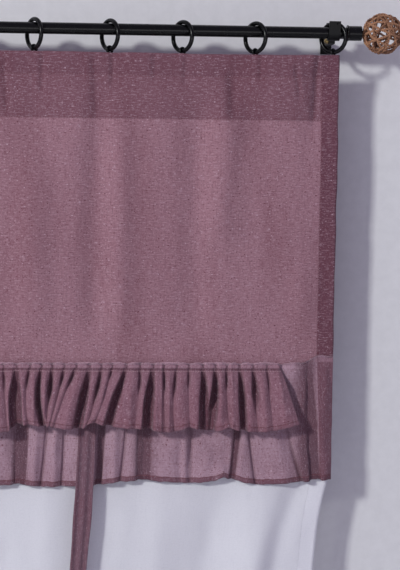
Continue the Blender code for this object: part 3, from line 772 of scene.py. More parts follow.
def add_piece(name, mesh, material, nodes=()):
    """Links a piece, lets it ride on the curtain's one body and stand for its solids."""
    piece = bpy.data.objects.new(name, mesh)
    bpy.context.scene.collection.objects.link(piece)
    mesh.materials.append(material)
    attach(piece, "root")
    if nodes:
        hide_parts(*nodes)
    return piece


def mesh_from(bm, name):
    """A smooth mesh made from a bmesh, which it frees."""
    bmesh.ops.recalc_face_normals(bm, faces=bm.faces)
    for face in bm.faces:
        face.smooth = True
    mesh = bpy.data.meshes.new(name)
    bm.to_mesh(mesh)
    bm.free()
    return mesh


def add_tube(bm, points, radii, sides, centre=None, strand=None):
    """A tube through points with a radius at each. With a centre it closes on itself round that point.

    strand is a map layer that takes the way round and along the tube.
    """
    count = len(points)
    closed = centre is not None
    rings = []
    side = None
    for i, point in enumerate(points):
        before = points[i - 1] if closed or i > 0 else point
        after = points[(i + 1) % count] if closed or i + 1 < count else point
        along = (after - before).normalized()
        guess = point - centre if closed else side or along.orthogonal()
        side = (guess - along * guess.dot(along)).normalized()
        up = along.cross(side)
        ring = []
        for k in range(sides):
            angle = math.tau * k / sides
            ring.append(bm.verts.new(point + (side * math.cos(angle) + up * math.sin(angle)) * radii[i]))
        rings.append(ring)
    following = rings[1:] + rings[:1] if closed else rings[1:]
    run = 0.0
    for i, (near, far) in enumerate(zip(rings, following)):
        length = (points[(i + 1) % count] - points[i]).length
        for k in range(sides):
            turn = (k + 1) % sides
            face = bm.faces.new((near[k], near[turn], far[turn], far[k]))
            if strand is not None:
                around = math.tau * radii[i] / sides
                corners = ((k, run), (k + 1, run), (k + 1, run + length), (k, run + length))
                for loop, (step, along) in zip(face.loops, corners):
                    loop[strand].uv = (step * around, along)
        run += length
    if not closed:
        bm.faces.new(rings[0][::-1])
        bm.faces.new(rings[-1])


def lathe(bm, profile, steps, place, axis):
    """Turns a profile of (along, radius) points round an axis through a place."""
    axis = Vector(axis).normalized()
    side = axis.orthogonal().normalized()
    verts = [bm.verts.new(Vector(place) + axis * along + side * radius) for along, radius in profile]
    edges = [bm.edges.new(pair) for pair in zip(verts, verts[1:])]
    bmesh.ops.spin(bm, geom=verts + edges, cent=place, axis=axis, angle=math.tau, steps=steps)
    bmesh.ops.remove_doubles(bm, verts=bm.verts, dist=0.000005)


def rounded(profile, radius):
    """The profile with each inner corner cut by a short arc of three points."""
    made = [profile[0]]
    for before, corner, after in zip(profile, profile[1:], profile[2:]):
        corner = Vector(corner)
        to_before = Vector(before) - corner
        to_after = Vector(after) - corner
        start = corner + to_before.normalized() * min(radius, to_before.length / 2)
        end = corner + to_after.normalized() * min(radius, to_after.length / 2)
        for share in (0.0, 0.3, 0.5, 0.7, 1.0):
            made.append(tuple(start.lerp(corner, share).lerp(corner.lerp(end, share), share)))
    return made + [profile[-1]]


def add_box(bm, size, centre, edge):
    """A box with its edges rounded."""
    made = bmesh.ops.create_cube(bm, size=1.0)["verts"]
    for vertex in made:
        vertex.co = Vector(centre) + Vector([part * side for part, side in zip(vertex.co, size)])
    edges = list({joint for vertex in made for joint in vertex.link_edges})
    bmesh.ops.bevel(bm, geom=edges, offset=edge, segments=2, affect="EDGES", profile=0.6)


# Cloth shapes


def ring_drop(ring):
    """How far a ring's centre hangs below the rod: less when it is turned and its sides ride on it."""
    turn = math.radians(ring.turn)
    room = RING_MEAN_RADIUS ** 2 - (RING_REACH / math.cos(turn)) ** 2
    return min(RING_MEAN_RADIUS - RING_REACH, math.sin(turn) * math.sqrt(room))


def fold_height(fold, across, drop):
    share = (drop - fold.begin) / (fold.end - fold.begin)
    if not 0.0 < share < 1.0:
        return 0.0
    middle = blend(fold.top, fold.foot, share)
    height = fold.height * hump(across - middle, fold.half_width)
    return height * smooth(4.0 * share) * smooth(4.0 * (1.0 - share))


def folds_height(folds, across, drop):
    total = 0.0
    for shift in (0.0, FOLD_REPEAT):
        total += sum(fold_height(fold, across - shift, drop) for fold in folds)
    return total


def heading_wave(across):
    """The top edge stands forward midway between rings, and sits under each ring."""
    for near, far in zip(RINGS, RINGS[1:]):
        if near.across <= across <= far.across:
            part = (across - near.across) / (far.across - near.across)
            return HEADING_WAVE * math.sin(math.pi * part) ** 2
    return 0.0


def heading_lift(across):
    """The top edge follows the feet of the rings' eyes, which hang a little unevenly."""
    across = min(max(across, RINGS[0].across), RINGS[-1].across)
    lowest = RING_MEAN_RADIUS - RING_REACH
    for near, far in zip(RINGS, RINGS[1:]):
        if across <= far.across:
            part = (across - near.across) / (far.across - near.across)
            return lowest - blend(ring_drop(near), ring_drop(far), part)


def side_draw(share, drop):
    """The sides pull in a little towards the mauve hem."""
    return PULL_IN * (1.0 - 2.0 * share) * smooth(drop / (SEAM_DROP + LOWER_LENGTH))


def ripple(across, drop, reach, height, seed):
    """Small unevenness of hanging cloth."""
    return height * noise.noise(Vector((across / reach, drop / (1.8 * reach), seed)))


def pucker(distance, across, height, seed):
    """Cloth drawn up into small waves beside a line of stitches."""
    wave = noise.noise(Vector((across / 0.0045, seed, 0.0)))
    return height * wave * hump(distance, 0.006) - 0.45 * height * hump(distance, 0.0016)


def panel_shade(share, drop):
    """Painted shade: 1 in the creases that the rings pull into the heading, and 0 on the smooth cloth."""
    return min(max(-folds_height(HEADING_CREASES, share * WIDTH, drop) / CREASE_DARK_DEPTH, 0.0), 1.0)


def place_panel(share, drop):
    across = share * WIDTH
    side = min(across, WIDTH - across)
    forward = heading_wave(across) * (1.0 - 0.5 * smooth(drop / HEADING_DEPTH))
    forward += folds_height(PANEL_FOLDS, across, drop) * smooth(drop / HEADING_FRILL)
    forward += folds_height(HEADING_CREASES, across, drop)
    forward += ripple(across, drop, 0.055, 0.0016, 2.0) + ripple(across, drop, 0.016, 0.0005, 7.0)
    forward *= 1.0 - smooth((drop - FLAT_FROM) / (FLAT_AT - FLAT_FROM))
    loose = 1.0 - smooth((drop - SEAM_DROP + 0.030) / 0.020)
    forward += loose * pucker(drop - HEADING_FRILL, across, 0.0007, 1.0)
    forward += loose * pucker(drop - HEADING_DEPTH, across, 0.0007, 3.0)
    forward += loose * pucker(side - SIDE_HEM, drop, 0.0006, 5.0)
    top = 1.0 - smooth(drop / HEADING_FRILL)
    forward += EYE_COVER * top
    lift = heading_lift(across) * (1.0 - smooth(drop / HEADING_DEPTH)) + TOP_RISE * top
    lift += 0.0007 * noise.noise(Vector((across / 0.02, 0.5, 0.0))) * (1.0 - smooth(drop / 0.02))
    edge = 0.0010 * noise.noise(Vector((drop / 0.03, 4.5, 0.0))) * hump(side, 0.012)
    side_shift = edge if across < WIDTH / 2 else -edge
    return Vector(
        (from_right(across + side_draw(share, drop)) + side_shift, ROD_Y - forward, TOP_Z - drop + lift)
    )


def all_tucks(end, tucks, repeat):
    """The shown tucks, the same run again further left, and the two ends."""
    limit = WIDTH - end.seam - (tucks[1].seam - tucks[0].seam) / 2
    run = [end]
    shift = 0.0
    while shift < WIDTH:
        for tuck in tucks:
            moved = tuck._replace(seam=tuck.seam + shift, middle=tuck.middle + shift, hem=tuck.hem + shift)
            if run[-1].seam < moved.seam < limit and run[-1].hem < moved.hem:
                run.append(moved)
        shift += repeat
    run.append(end._replace(seam=WIDTH - end.seam, middle=WIDTH - end.middle, hem=WIDTH - end.hem))
    return run


def seam_lift(across):
    """The seam climbs over the flat strip at each side."""
    side = min(across, WIDTH - across)
    return END_LIFT * (1.0 - smooth((side - 0.022) / 0.026))


class Ruffle:
    """A gathered strip of cloth. share counts its tucks across, and drop is measured down from the seam."""

    def __init__(self, tucks, length, layer, flare, ridges, curls, shades=()):
        self.tucks = tucks
        self.length = length
        self.layer = layer
        self.flare = flare
        self.ridges = ridges
        self.curls = curls
        self.shades = shades
        self.upper = layer == UPPER_LAYER

    def path(self, tuck, down):
        """A tuck's distance from the right edge: a curve through its seam, middle and hem."""
        return (
            tuck.seam * 2.0 * (down - 0.5) * (down - 1.0)
            + tuck.middle * 4.0 * down * (1.0 - down)
            + tuck.hem * 2.0 * down * (down - 0.5)
        )

    def spot(self, share, down):
        """The two tucks beside a point, its distance from each and from the edge, and its part of the way."""
        last = len(self.tucks) - 1
        fold = min(int(share * last + 1e-6), last - 1)
        part = share * last - fold
        part -= 0.08 * math.sin(math.tau * part)
        near, far = self.tucks[fold], self.tucks[fold + 1]
        near_across = self.path(near, down)
        gap = self.path(far, down) - near_across
        return near, far, part * gap, (1.0 - part) * gap, near_across + part * gap, part

    def backmost(self, down):
        """The room that the cloth behind leaves: a ruffle's recess goes no further back."""
        return 0.0034 + 0.0070 * down if self.upper else 0.0006

    def frontmost(self, drop):
        """The room in front of the lower ruffle, behind the upper one's recesses."""
        return 0.0024 + 0.0070 * max(drop, 0.0) / UPPER_LENGTH + max(drop - UPPER_LENGTH, 0.0)

    def recess(self, tuck, distance, down):
        """How far a tuck's recess sets the cloth back: steep walls beside a flat floor that widens down."""
        floor = tuck.wide * (0.25 + 0.75 * smooth(down / 0.55))
        depth = tuck.depth * smooth((down + 0.04) / 0.20)
        if tuck.reach < 1.0:
            fading = 1.0 - smooth((down - 0.45 * tuck.reach) / (0.55 * tuck.reach))
            floor *= fading
            depth *= fading
        return depth * (1.0 - smooth((distance - floor) / RECESS_WALL))

    def setback(self, share, down):
        near, far, near_distance, far_distance, _, _ = self.spot(share, down)
        both = self.recess(near, near_distance, down) + self.recess(far, far_distance, down)
        return min(both, max(near.depth, far.depth))

    def shade(self, share, drop):
        """Painted shade: 1 in the recesses, in the upper ruffle's header slots and along its gathering line,
        and in the lower ruffle's shaded patches; 0 on the bulges.
        """
        down = max(drop, 0.0) / self.length
        if self.upper:
            _, _, near_distance, far_distance, _, _ = self.spot(share, 0.0)
            notch = hump(min(near_distance, far_distance), 0.0015) * smooth((drop + 0.0058) / 0.0020)
            line = hump(drop - GATHER_LINE, 0.0017)
            dark = max(self.setback(share, down) / UPPER_DARK_SETBACK, line, notch if drop < 0.006 else 0.0)
        else:
            across = self.spot(share, down)[4]
            dark = self.setback(share, down) / LOWER_DARK_SETBACK + folds_height(self.shades, across, drop)
        return min(dark, 1.0)

    def place(self, share, drop):
        down = max(drop, 0.0) / self.length
        near, far, near_distance, far_distance, across, part = self.spot(share, down)
        gap = near_distance + far_distance
        forward = self.layer + self.flare * (0.35 * smooth(down / 0.30) + 0.65 * down)
        bulge = math.sin(math.pi * min(max(part, 0.0), 1.0))
        forward += BULGE_DEPTH * (bulge - 0.6) * smooth(down / 0.12) * min(1.0, gap / 0.014)
        forward += folds_height(self.ridges, across, drop)
        forward += ripple(across, drop, 0.012, 0.0020, self.layer * 1000) * smooth(down / 0.15)
        forward += ripple(across, drop, 0.035, 0.0018, self.flare * 1000) * smooth(down / 0.3)
        if not self.upper:
            forward = min(forward, self.frontmost(drop))
        forward = max(forward - self.setback(share, down), self.backmost(down))
        drawn_up = blend(near.rise, far.rise, part) * down
        drawn_up += 0.0012 * noise.noise(Vector((across / 0.008, self.length, 0.0))) * down
        lift = 0.0 if self.upper else seam_lift(across) * (1.0 - down)
        if self.upper:
            forward -= 0.0012 * hump(drop - GATHER_LINE, 0.0012)
        if drop < 0.0:
            header = min(1.0, -drop / SEAM_ALLOWANCE)
            lift += 0.0028 * (bulge - 0.75) * header
            lift += 0.0009 * noise.noise(Vector((across / 0.003, self.length, 3.0))) * header
            forward += (0.0022 * bulge - 0.0004) * header
        for curl in self.curls:
            lifted = hump(across - curl.across, curl.half_width) * smooth((down - 0.80) / 0.20)
            forward += curl.forward * lifted
            drawn_up += curl.up * lifted
        side = side_draw(across / WIDTH, SEAM_DROP + drop)
        z = TOP_Z - SEAM_DROP - drop + drawn_up + lift
        return Vector((from_right(across + side), ROD_Y - forward, z))


def place_sheer(share, drop):
    below = smooth((drop - SEAM_DROP) / LOWER_LENGTH)
    draw = SHEER_DRAW_IN * (1.0 - math.exp(-max(drop - SHEER_DRAW_FROM, 0.0) / SHEER_DRAW_OVER))
    inset = SHEER_INSET + PULL_IN * below + draw
    across = blend(inset, WIDTH - inset, share)
    wave = folds_height(SHEER_FOLDS, share * WIDTH, drop)
    wave += ripple(across, drop, 0.060, 0.0030, 11.0) + ripple(across, drop, 0.020, 0.0006, 12.0)
    forward = SHEER_LAYER + SHEER_FLARE * below + wave * below
    loose = smooth((drop - SEAM_DROP - LOWER_LENGTH + 0.010) / 0.050)
    forward = min(forward, blend(-0.0008, 0.0200, loose))
    return Vector((from_right(across), ROD_Y - forward, TOP_Z - drop))


def place_tie(across_at_seam):
    def place(share, drop):
        lean_share = min(max(drop, 0.0) / TIE_LEAN_LENGTH, 1.0)
        lean = TIE_LEAN * (1.0 - math.cos(lean_share * math.pi / 2))
        below = max(drop, 0.0) / LOWER_LENGTH
        waist = 1.0 - 0.10 * smooth(below) * noise.noise(Vector((drop / 0.05, across_at_seam, 0.0)))
        across = across_at_seam + lean + TIE_WIDTH * waist * (share - 0.5)
        crease = TIE_CREASE * math.cos((share * 4.0 + 0.6 * drop) * math.pi) * smooth(below)
        crease += ripple(share * TIE_WIDTH, drop, 0.012, 0.0010, 21.0) * smooth(below)
        forward = TIE_LAYER + TIE_FLARE * smooth(min(below, 1.0)) ** 0.8 + crease
        return Vector((from_right(across), ROD_Y - forward, TOP_Z - SEAM_DROP - drop))

    return place


def build_sheet(name, columns, rows, place, flat, material, nodes, shade=None):
    """A fine grid laid out by place(share, drop), with its flat cloth coordinates as a UV map.

    shade(share, drop) marks painted shade in a second map.
    """
    points = [place(column / columns, drop) for drop in rows for column in range(columns + 1)]
    stride = columns + 1
    faces = []
    for row in range(len(rows) - 1):
        for corner in range(row * stride, row * stride + columns):
            faces.append((corner, corner + 1, corner + 1 + stride, corner + stride))
    mesh = bpy.data.meshes.new(name)
    mesh.from_pydata(points, [], faces)
    laid_flat = mesh.uv_layers.new(name="cloth")
    for loop in mesh.loops:
        row, column = divmod(loop.vertex_index, stride)
        laid_flat.uv[loop.index].vector = (flat[0] * column / columns, rows[row] - rows[0])
    if shade is not None:
        marks = [shade(column / columns, drop) for drop in rows for column in range(columns + 1)]
        recessed = mesh.uv_layers.new(name="recess")
        for loop in mesh.loops:
            recessed.uv[loop.index].vector = (marks[loop.vertex_index], 0.0)
    mesh.shade_smooth()
    sheet = add_piece(name, mesh, material, nodes)
    thicken = sheet.modifiers.new("cloth", "SOLIDIFY")
    thicken.thickness = bpy.context.scene.curtain_sizes.cloth
    thicken.offset = 0.0
    return sheet


# Sewing


Seam = namedtuple("Seam", "start end length")


def surface_point(place, share, drop, height):
    """A point raised above a sheet, towards the room."""
    middle = place(share, drop)
    step = 0.0004
    across = place(min(share + step, 1.0), drop) - place(max(share - step, 0.0), drop)
    along = place(share, drop + step) - place(share, drop - step)
    normal = across.cross(along).normalized()
    return middle + normal * height


def level_seam(drop, length, inset=0.0):
    return Seam((inset, drop), (1.0 - inset, drop), length)


def side_seams(inset, start, end, length):
    return [Seam((share, start), (share, end), length) for share in (inset, 1.0 - inset)]


def sew(name, place, seams, material, pitch=None, weight=1.0):
    """Short stitches along each seam, sunk into the cloth at both ends. weight makes the thread thicker."""
    sizes = bpy.context.scene.curtain_sizes
    pitch = pitch or sizes.stitch
    radius = weight * sizes.thread
    face = sizes.cloth / 2
    bm = bmesh.new()
    for seam in seams:
        count = round(seam.length / pitch)
        for number in range(count):
            points = []
            for part, height in ((0.14, -0.5), (0.32, 0.7), (0.64, 0.8), (0.84, -0.5)):
                run = (number + part) / count
                share = blend(seam.start[0], seam.end[0], run)
                drop = blend(seam.start[1], seam.end[1], run)
                points.append(surface_point(place, share, drop, face + height * radius))
            add_tube(bm, points, (radius,) * len(points), 4)
    return add_piece(name, mesh_from(bm, name), material)


def serge(name, place, length, material):
    """Overlock thread that zigzags over a ruffle's raw edge."""
    sizes = bpy.context.scene.curtain_sizes
    bm = bmesh.new()
    count = round(length / SERGING_PITCH)
    shake = random.Random(count)
    points = []
    for number in range(2 * count + 1):
        drop = RAW_EDGE[number % 2] + shake.uniform(-SERGING_SHAKE, SERGING_SHAKE)
        points.append(surface_point(place, number / (2 * count), drop, sizes.cloth / 2 + 1.6 * sizes.thread))
    add_tube(bm, points, (2.0 * sizes.thread,) * len(points), 4)
    return add_piece(name, mesh_from(bm, name), material)


# Operators


class CURTAIN_OT_stage(bpy.types.Operator):
    """Set up the pale floor and backdrop, the soft light and the camera."""

    bl_idname = "curtain.make_stage"
    bl_label = "Stage"

    def execute(self, context):
        self.make_camera(context.scene)
        self.make_light(context.scene)
        self.make_backdrop(context.scene)
        return {"FINISHED"}

    def make_camera(self, scene):
        yaw, pitch = math.radians(CAMERA_YAW), math.radians(CAMERA_PITCH)
        ahead = Vector((math.sin(yaw) * math.cos(pitch), math.cos(yaw) * math.cos(pitch), -math.sin(pitch)))
        data = bpy.data.cameras.new("camera")
        data.lens = CAMERA_LENS
        data.sensor_width = CAMERA_SENSOR
        camera = bpy.data.objects.new("camera", data)
        turn = ahead.to_track_quat("-Z", "Y").to_matrix().to_4x4()
        roll = Matrix.Rotation(math.radians(CAMERA_ROLL), 4, "Z")
        camera.matrix_world = Matrix.Translation(CAMERA_PLACE) @ turn @ roll
        scene.collection.objects.link(camera)
        scene.camera = camera

    def make_light(self, scene):
        light = scene.curtain_light
        middle = Vector((-SPAN / 4, ROD_Y, TOP_Z - SEAM_DROP))
        rod_middle = Vector((-SPAN / 4, ROD_Y, ROD_Z))
        away = KEY_DIRECTION.normalized() * light.distance
        key = self.add_light(scene, "key", middle, away, light.power, light.size, light.size)
        key.data.color = KEY_COLOUR
        panel = self.add_light(scene, "low_panel", rod_middle, PANEL_AWAY, light.panel, *PANEL_SIZE)
        panel.visible_diffuse = False
        self.add_light(scene, "rear", middle, REAR_AWAY, light.rear, *REAR_SIZE)
        world = bpy.data.worlds.new("studio")
        world.use_nodes = True
        background = world.node_tree.nodes["Background"]
        background.inputs["Color"].default_value = opaque(light.fill_colour)
        background.inputs["Strength"].default_value = light.fill
        scene.world = world
        scene.view_settings.view_transform = "Standard"

    def add_light(self, scene, name, target, away, power, width, height):
        """An area light that faces a target from some way off."""
        data = bpy.data.lights.new(name, "AREA")
        data.shape = "RECTANGLE"
        data.size = width
        data.size_y = height
        data.energy = power
        lamp = bpy.data.objects.new(name, data)
        lamp.location = target + away
        lamp.rotation_euler = away.to_track_quat("Z", "Y").to_euler()
        scene.collection.objects.link(lamp)
        return lamp

    def make_backdrop(self, scene):
        """A floor that sweeps up into the backdrop behind the wall plates."""
        floor_z = TOP_Z - SHEER_FOOT - FLOOR_BELOW
        profile = [(-BACKDROP_REACH, floor_z)]
        for step in range(BACKDROP_BEND_STEPS + 1):
            angle = math.pi / 2 * step / BACKDROP_BEND_STEPS
            y = BACKDROP_BEHIND - BACKDROP_BEND + BACKDROP_BEND * math.sin(angle)
            profile.append((y, floor_z + BACKDROP_BEND - BACKDROP_BEND * math.cos(angle)))
        profile.append((BACKDROP_BEHIND, BACKDROP_TOP))
        middle = -SPAN / 2
        points = [(middle + side * BACKDROP_REACH, y, z) for y, z in profile for side in (-1, 1)]
        faces = [(2 * i, 2 * i + 1, 2 * i + 3, 2 * i + 2) for i in range(len(profile) - 1)]
        mesh = bpy.data.meshes.new("backdrop")
        mesh.from_pydata(points, [], faces)
        mesh.shade_smooth()
        mesh.materials.append(backdrop_material())
        backdrop = bpy.data.objects.new("backdrop", mesh)
        scene.collection.objects.link(backdrop)


class CURTAIN_OT_panel(bpy.types.Operator):
    """Hang the mauve panel, with its turned heading, side hems and stitching."""

    bl_idname = "curtain.make_panel"
    bl_label = "Mauve panel"

    def execute(self, context):
        palette = context.scene.curtain_colours
        cell = context.scene.curtain_sizes.cell
        size = (WIDTH, PANEL_FOOT)
        rows = grid_rows(
            PANEL_FOOT, (0.0, 0.75 * cell), (HEADING_FRILL, 0.85 * cell), (HEADING_DEPTH, 1.05 * cell)
        )
        hems = (("Side", SIDE_HEM, 1.0), ("Top", HEADING_DEPTH, 0.64), ("Top", HEADING_FRILL, 0.15))
        colours = (palette.mauve, palette.mauve_double)
        material = cloth_material("mauve_linen", size, colours, hems, (0.62, 1.00, 0.30), shaded=0.55)
        panel = build_sheet(
            "mauve_panel", round(WIDTH / cell), rows, place_panel, size, material,
            ("front_panel",), panel_shade,
        )
        seams = [level_seam(drop, WIDTH) for drop in (HEADING_FRILL, HEADING_DEPTH)]
        seams += side_seams(SIDE_HEM / WIDTH, 0.004, SEAM_DROP - 0.012, SEAM_DROP)
        thread = thread_material("seam_thread", palette.thread)
        stitches = sew("panel_stitches", place_panel, seams, thread)
        return {"FINISHED"}


class CURTAIN_OT_ruffles(bpy.types.Operator):
    """Gather the upper and lower ruffles into the seam."""

    bl_idname = "curtain.make_ruffles"
    bl_label = "Ruffles"

    def execute(self, context):
        palette = context.scene.curtain_colours
        seam_thread = bpy.data.materials["seam_thread"]
        threads = (
            thread_material("serging_thread", palette.pale_thread),
            thread_material("hem_thread", palette.plum_thread),
        )

        tucks = all_tucks(UPPER_END, UPPER_TUCKS, UPPER_REPEAT)
        ruffle = Ruffle(tucks, UPPER_LENGTH, UPPER_LAYER, UPPER_FLARE, UPPER_RIDGES, UPPER_CURLS)
        rows = grid_rows(UPPER_LENGTH, (-SEAM_ALLOWANCE, 0.0010), (0.003, 0.0022), (0.030, 0.0030))
        hems = (("Foot", RUFFLE_HEM, 0.28),)
        upper = self.frill("upper", ruffle, rows, UPPER_CUT, palette.mauve_frill, hems, UPPER_TUCK_COLUMNS)
        gathers = (level_seam(GATHER_STITCHES, 1.1 * WIDTH, 0.001),)
        pieces = [
            sew("gathering_stitches", ruffle.place, gathers, seam_thread, GATHER_PITCH, 2.4)
        ]
        pieces += self.edges("upper_hem_stitches", "serged_header", ruffle, UPPER_CUT, threads)

        tucks = all_tucks(LOWER_END, LOWER_TUCKS, LOWER_REPEAT)
        ruffle = Ruffle(
            tucks, LOWER_LENGTH, LOWER_LAYER, LOWER_FLARE, LOWER_RIDGES, LOWER_CURLS, LOWER_SHADES
        )
        rows = grid_rows(LOWER_LENGTH, (-SEAM_ALLOWANCE, 0.0015), (0.0, 0.0032))
        hems = (("Foot", 1.15 * RUFFLE_HEM, 0.80), ("Side", STRIP_ON_FLAT, 0.85))
        # The lower ruffle's colour holds painted light that shows through it from behind
        lower = self.frill("lower", ruffle, rows, LOWER_CUT, palette.mauve_lit_through, hems, LOWER_TUCK_COLUMNS)
        pieces = self.edges("lower_hem_stitches", "serged_lower_header", ruffle, LOWER_CUT, threads)
        return {"FINISHED"}

    def frill(self, word, ruffle, rows, cut, colour, hems, columns_per_tuck):
        palette = bpy.context.scene.curtain_colours
        name = f"{word}_frill"
        size = (cut[0], ruffle.length + SEAM_ALLOWANCE)
        material = cloth_material(
            f"{name}_linen", size, (colour, palette.mauve_double), hems, (0.45, 0.85, 0.20),
            shaded=0.80, serged=True, upright=True,
        )
        columns = columns_per_tuck * (len(ruffle.tucks) - 1)
        return build_sheet(
            name, columns, rows, ruffle.place, size, material, (f"{word}_ruffle",),
            ruffle.shade,
        )

    def edges(self, hem_name, raw_name, ruffle, cut, threads):
        """The stitches of a ruffle's hem, and the overlock thread over its raw edge."""
        pale_thread, hem_thread = threads
        hem = (level_seam(ruffle.length - RUFFLE_HEM, cut[0], 0.002),)
        return [
            sew(hem_name, ruffle.place, hem, hem_thread, weight=1.5),
            serge(raw_name, ruffle.place, 1.2 * WIDTH, pale_thread),
        ]


class CURTAIN_OT_ties(bpy.types.Operator):
    """Let the two ties fall from the seam in front of the lower ruffle."""

    bl_idname = "curtain.make_ties"
    bl_label = "Ties"

    def execute(self, context):
        palette = context.scene.curtain_colours
        material = cloth_material(
            "tie_linen", TIE_CUT, (palette.tie, palette.tie), (("Foot", TIE_HEM, 1.0),), (0.35, 0.50, 0.15),
            upright=True,
        )
        hem_thread = bpy.data.materials["hem_thread"]
        rows = grid_rows(TIE_FOOT, (-0.003, 0.0045))
        for word, across in zip(("right", "left"), TIE_ACROSS):
            place = place_tie(across)
            tie = build_sheet(
                f"hanging_tie_{word}", TIE_COLUMNS, rows, place, TIE_CUT, material,
                (f"tie_{word}",),
            )
            edges = side_seams(0.10, 0.02, TIE_FOOT - 0.004, TIE_FOOT)
            edges.append(level_seam(TIE_FOOT - 0.007, TIE_WIDTH, 0.10))
            stitches = sew(f"tie_stitches_{word}", place, edges, hem_thread)
        return {"FINISHED"}


class CURTAIN_OT_sheer(bpy.types.Operator):
    """Hang the white voile below the mauve hem."""

    bl_idname = "curtain.make_sheer"
    bl_label = "Sheer panel"

    def execute(self, context):
        rows = grid_rows(SHEER_FOOT, (SHEER_TOP, 0.0050), (0.700, 0.0065))
        length = SHEER_FOOT - SHEER_TOP
        sheer = build_sheet(
            "voile_panel", VOILE_COLUMNS, rows, place_sheer, (WIDTH, length), voile_material(),
            ("sheer_panel",),
        )
        seams = side_seams(SHEER_SIDE_HEM / WIDTH, SHEER_TOP + 0.005, SHEER_FOOT, length)
        seams.append(level_seam(SHEER_FOOT - SHEER_FOOT_HEM, WIDTH))
        thread = thread_material("white_thread", (0.78, 0.78, 0.84))
        stitches = sew("voile_stitches", place_sheer, seams, thread)
        return {"FINISHED"}


def joined(base, *others):
    """The mesh left when each other mesh is added to or cut from the base."""
    pieces = [bpy.data.objects.new("join", mesh) for mesh in (base, *(mesh for mesh, _ in others))]
    for piece in pieces:
        bpy.context.scene.collection.objects.link(piece)
    for piece, (_, operation) in zip(pieces[1:], others):
        join = pieces[0].modifiers.new("join", "BOOLEAN")
        join.operation = operation
        join.solver = "EXACT"
        join.object = piece
    shape = pieces[0].evaluated_get(bpy.context.evaluated_depsgraph_get())
    mesh = bpy.data.meshes.new_from_object(shape)
    for piece in pieces:
        bpy.data.objects.remove(piece, do_unlink=True)
    return mesh


class CURTAIN_OT_rings(bpy.types.Operator):
    """Put smooth rings on the rod, each with its small eye."""

    bl_idname = "curtain.make_rings"
    bl_label = "Rings"

    def execute(self, context):
        material = metal_material("ring_paint", context.scene.curtain_colours.black, 0.20, 0.06)
        for number, ring in enumerate(RINGS, start=1):
            turn = math.radians(ring.turn)
            x = from_right(ring.across)
            z = ROD_Z - ring_drop(ring)
            centre = Vector((x, ROD_Y, z))
            foot = Vector((x, ROD_Y, z - RING_MEAN_RADIUS - EYE_SLACK))
            wire = (centre, turn, RING_MEAN_RADIUS, RING_THICKNESS / 2, *RING_STEPS)
            eye = (foot, turn - math.pi / 2, EYE_MEAN_RADIUS, EYE_THICKNESS / 2, *EYE_STEPS)
            for name, node, shape in (("ring_wire", "ring", wire), ("eye_wire", "ring_eye", eye)):
                name = f"{name}_{number:02d}"
                mesh = mesh_from(self.wire(*shape), name)
                add_piece(name, mesh, material, (f"{node}_{number:02d}",))
        return {"FINISHED"}

    def wire(self, centre, turn, mean, radius, steps, sides):
        """A closed round wire that stands upright, turned about the vertical."""
        bm = bmesh.new()
        points = []
        for step in range(steps):
            angle = math.tau * step / steps
            out = math.cos(angle)
            spoke = Vector((-math.sin(turn) * out, math.cos(turn) * out, math.sin(angle)))
            points.append(centre + spoke * mean)
        add_tube(bm, points, (radius,) * steps, sides, centre)
        return bm


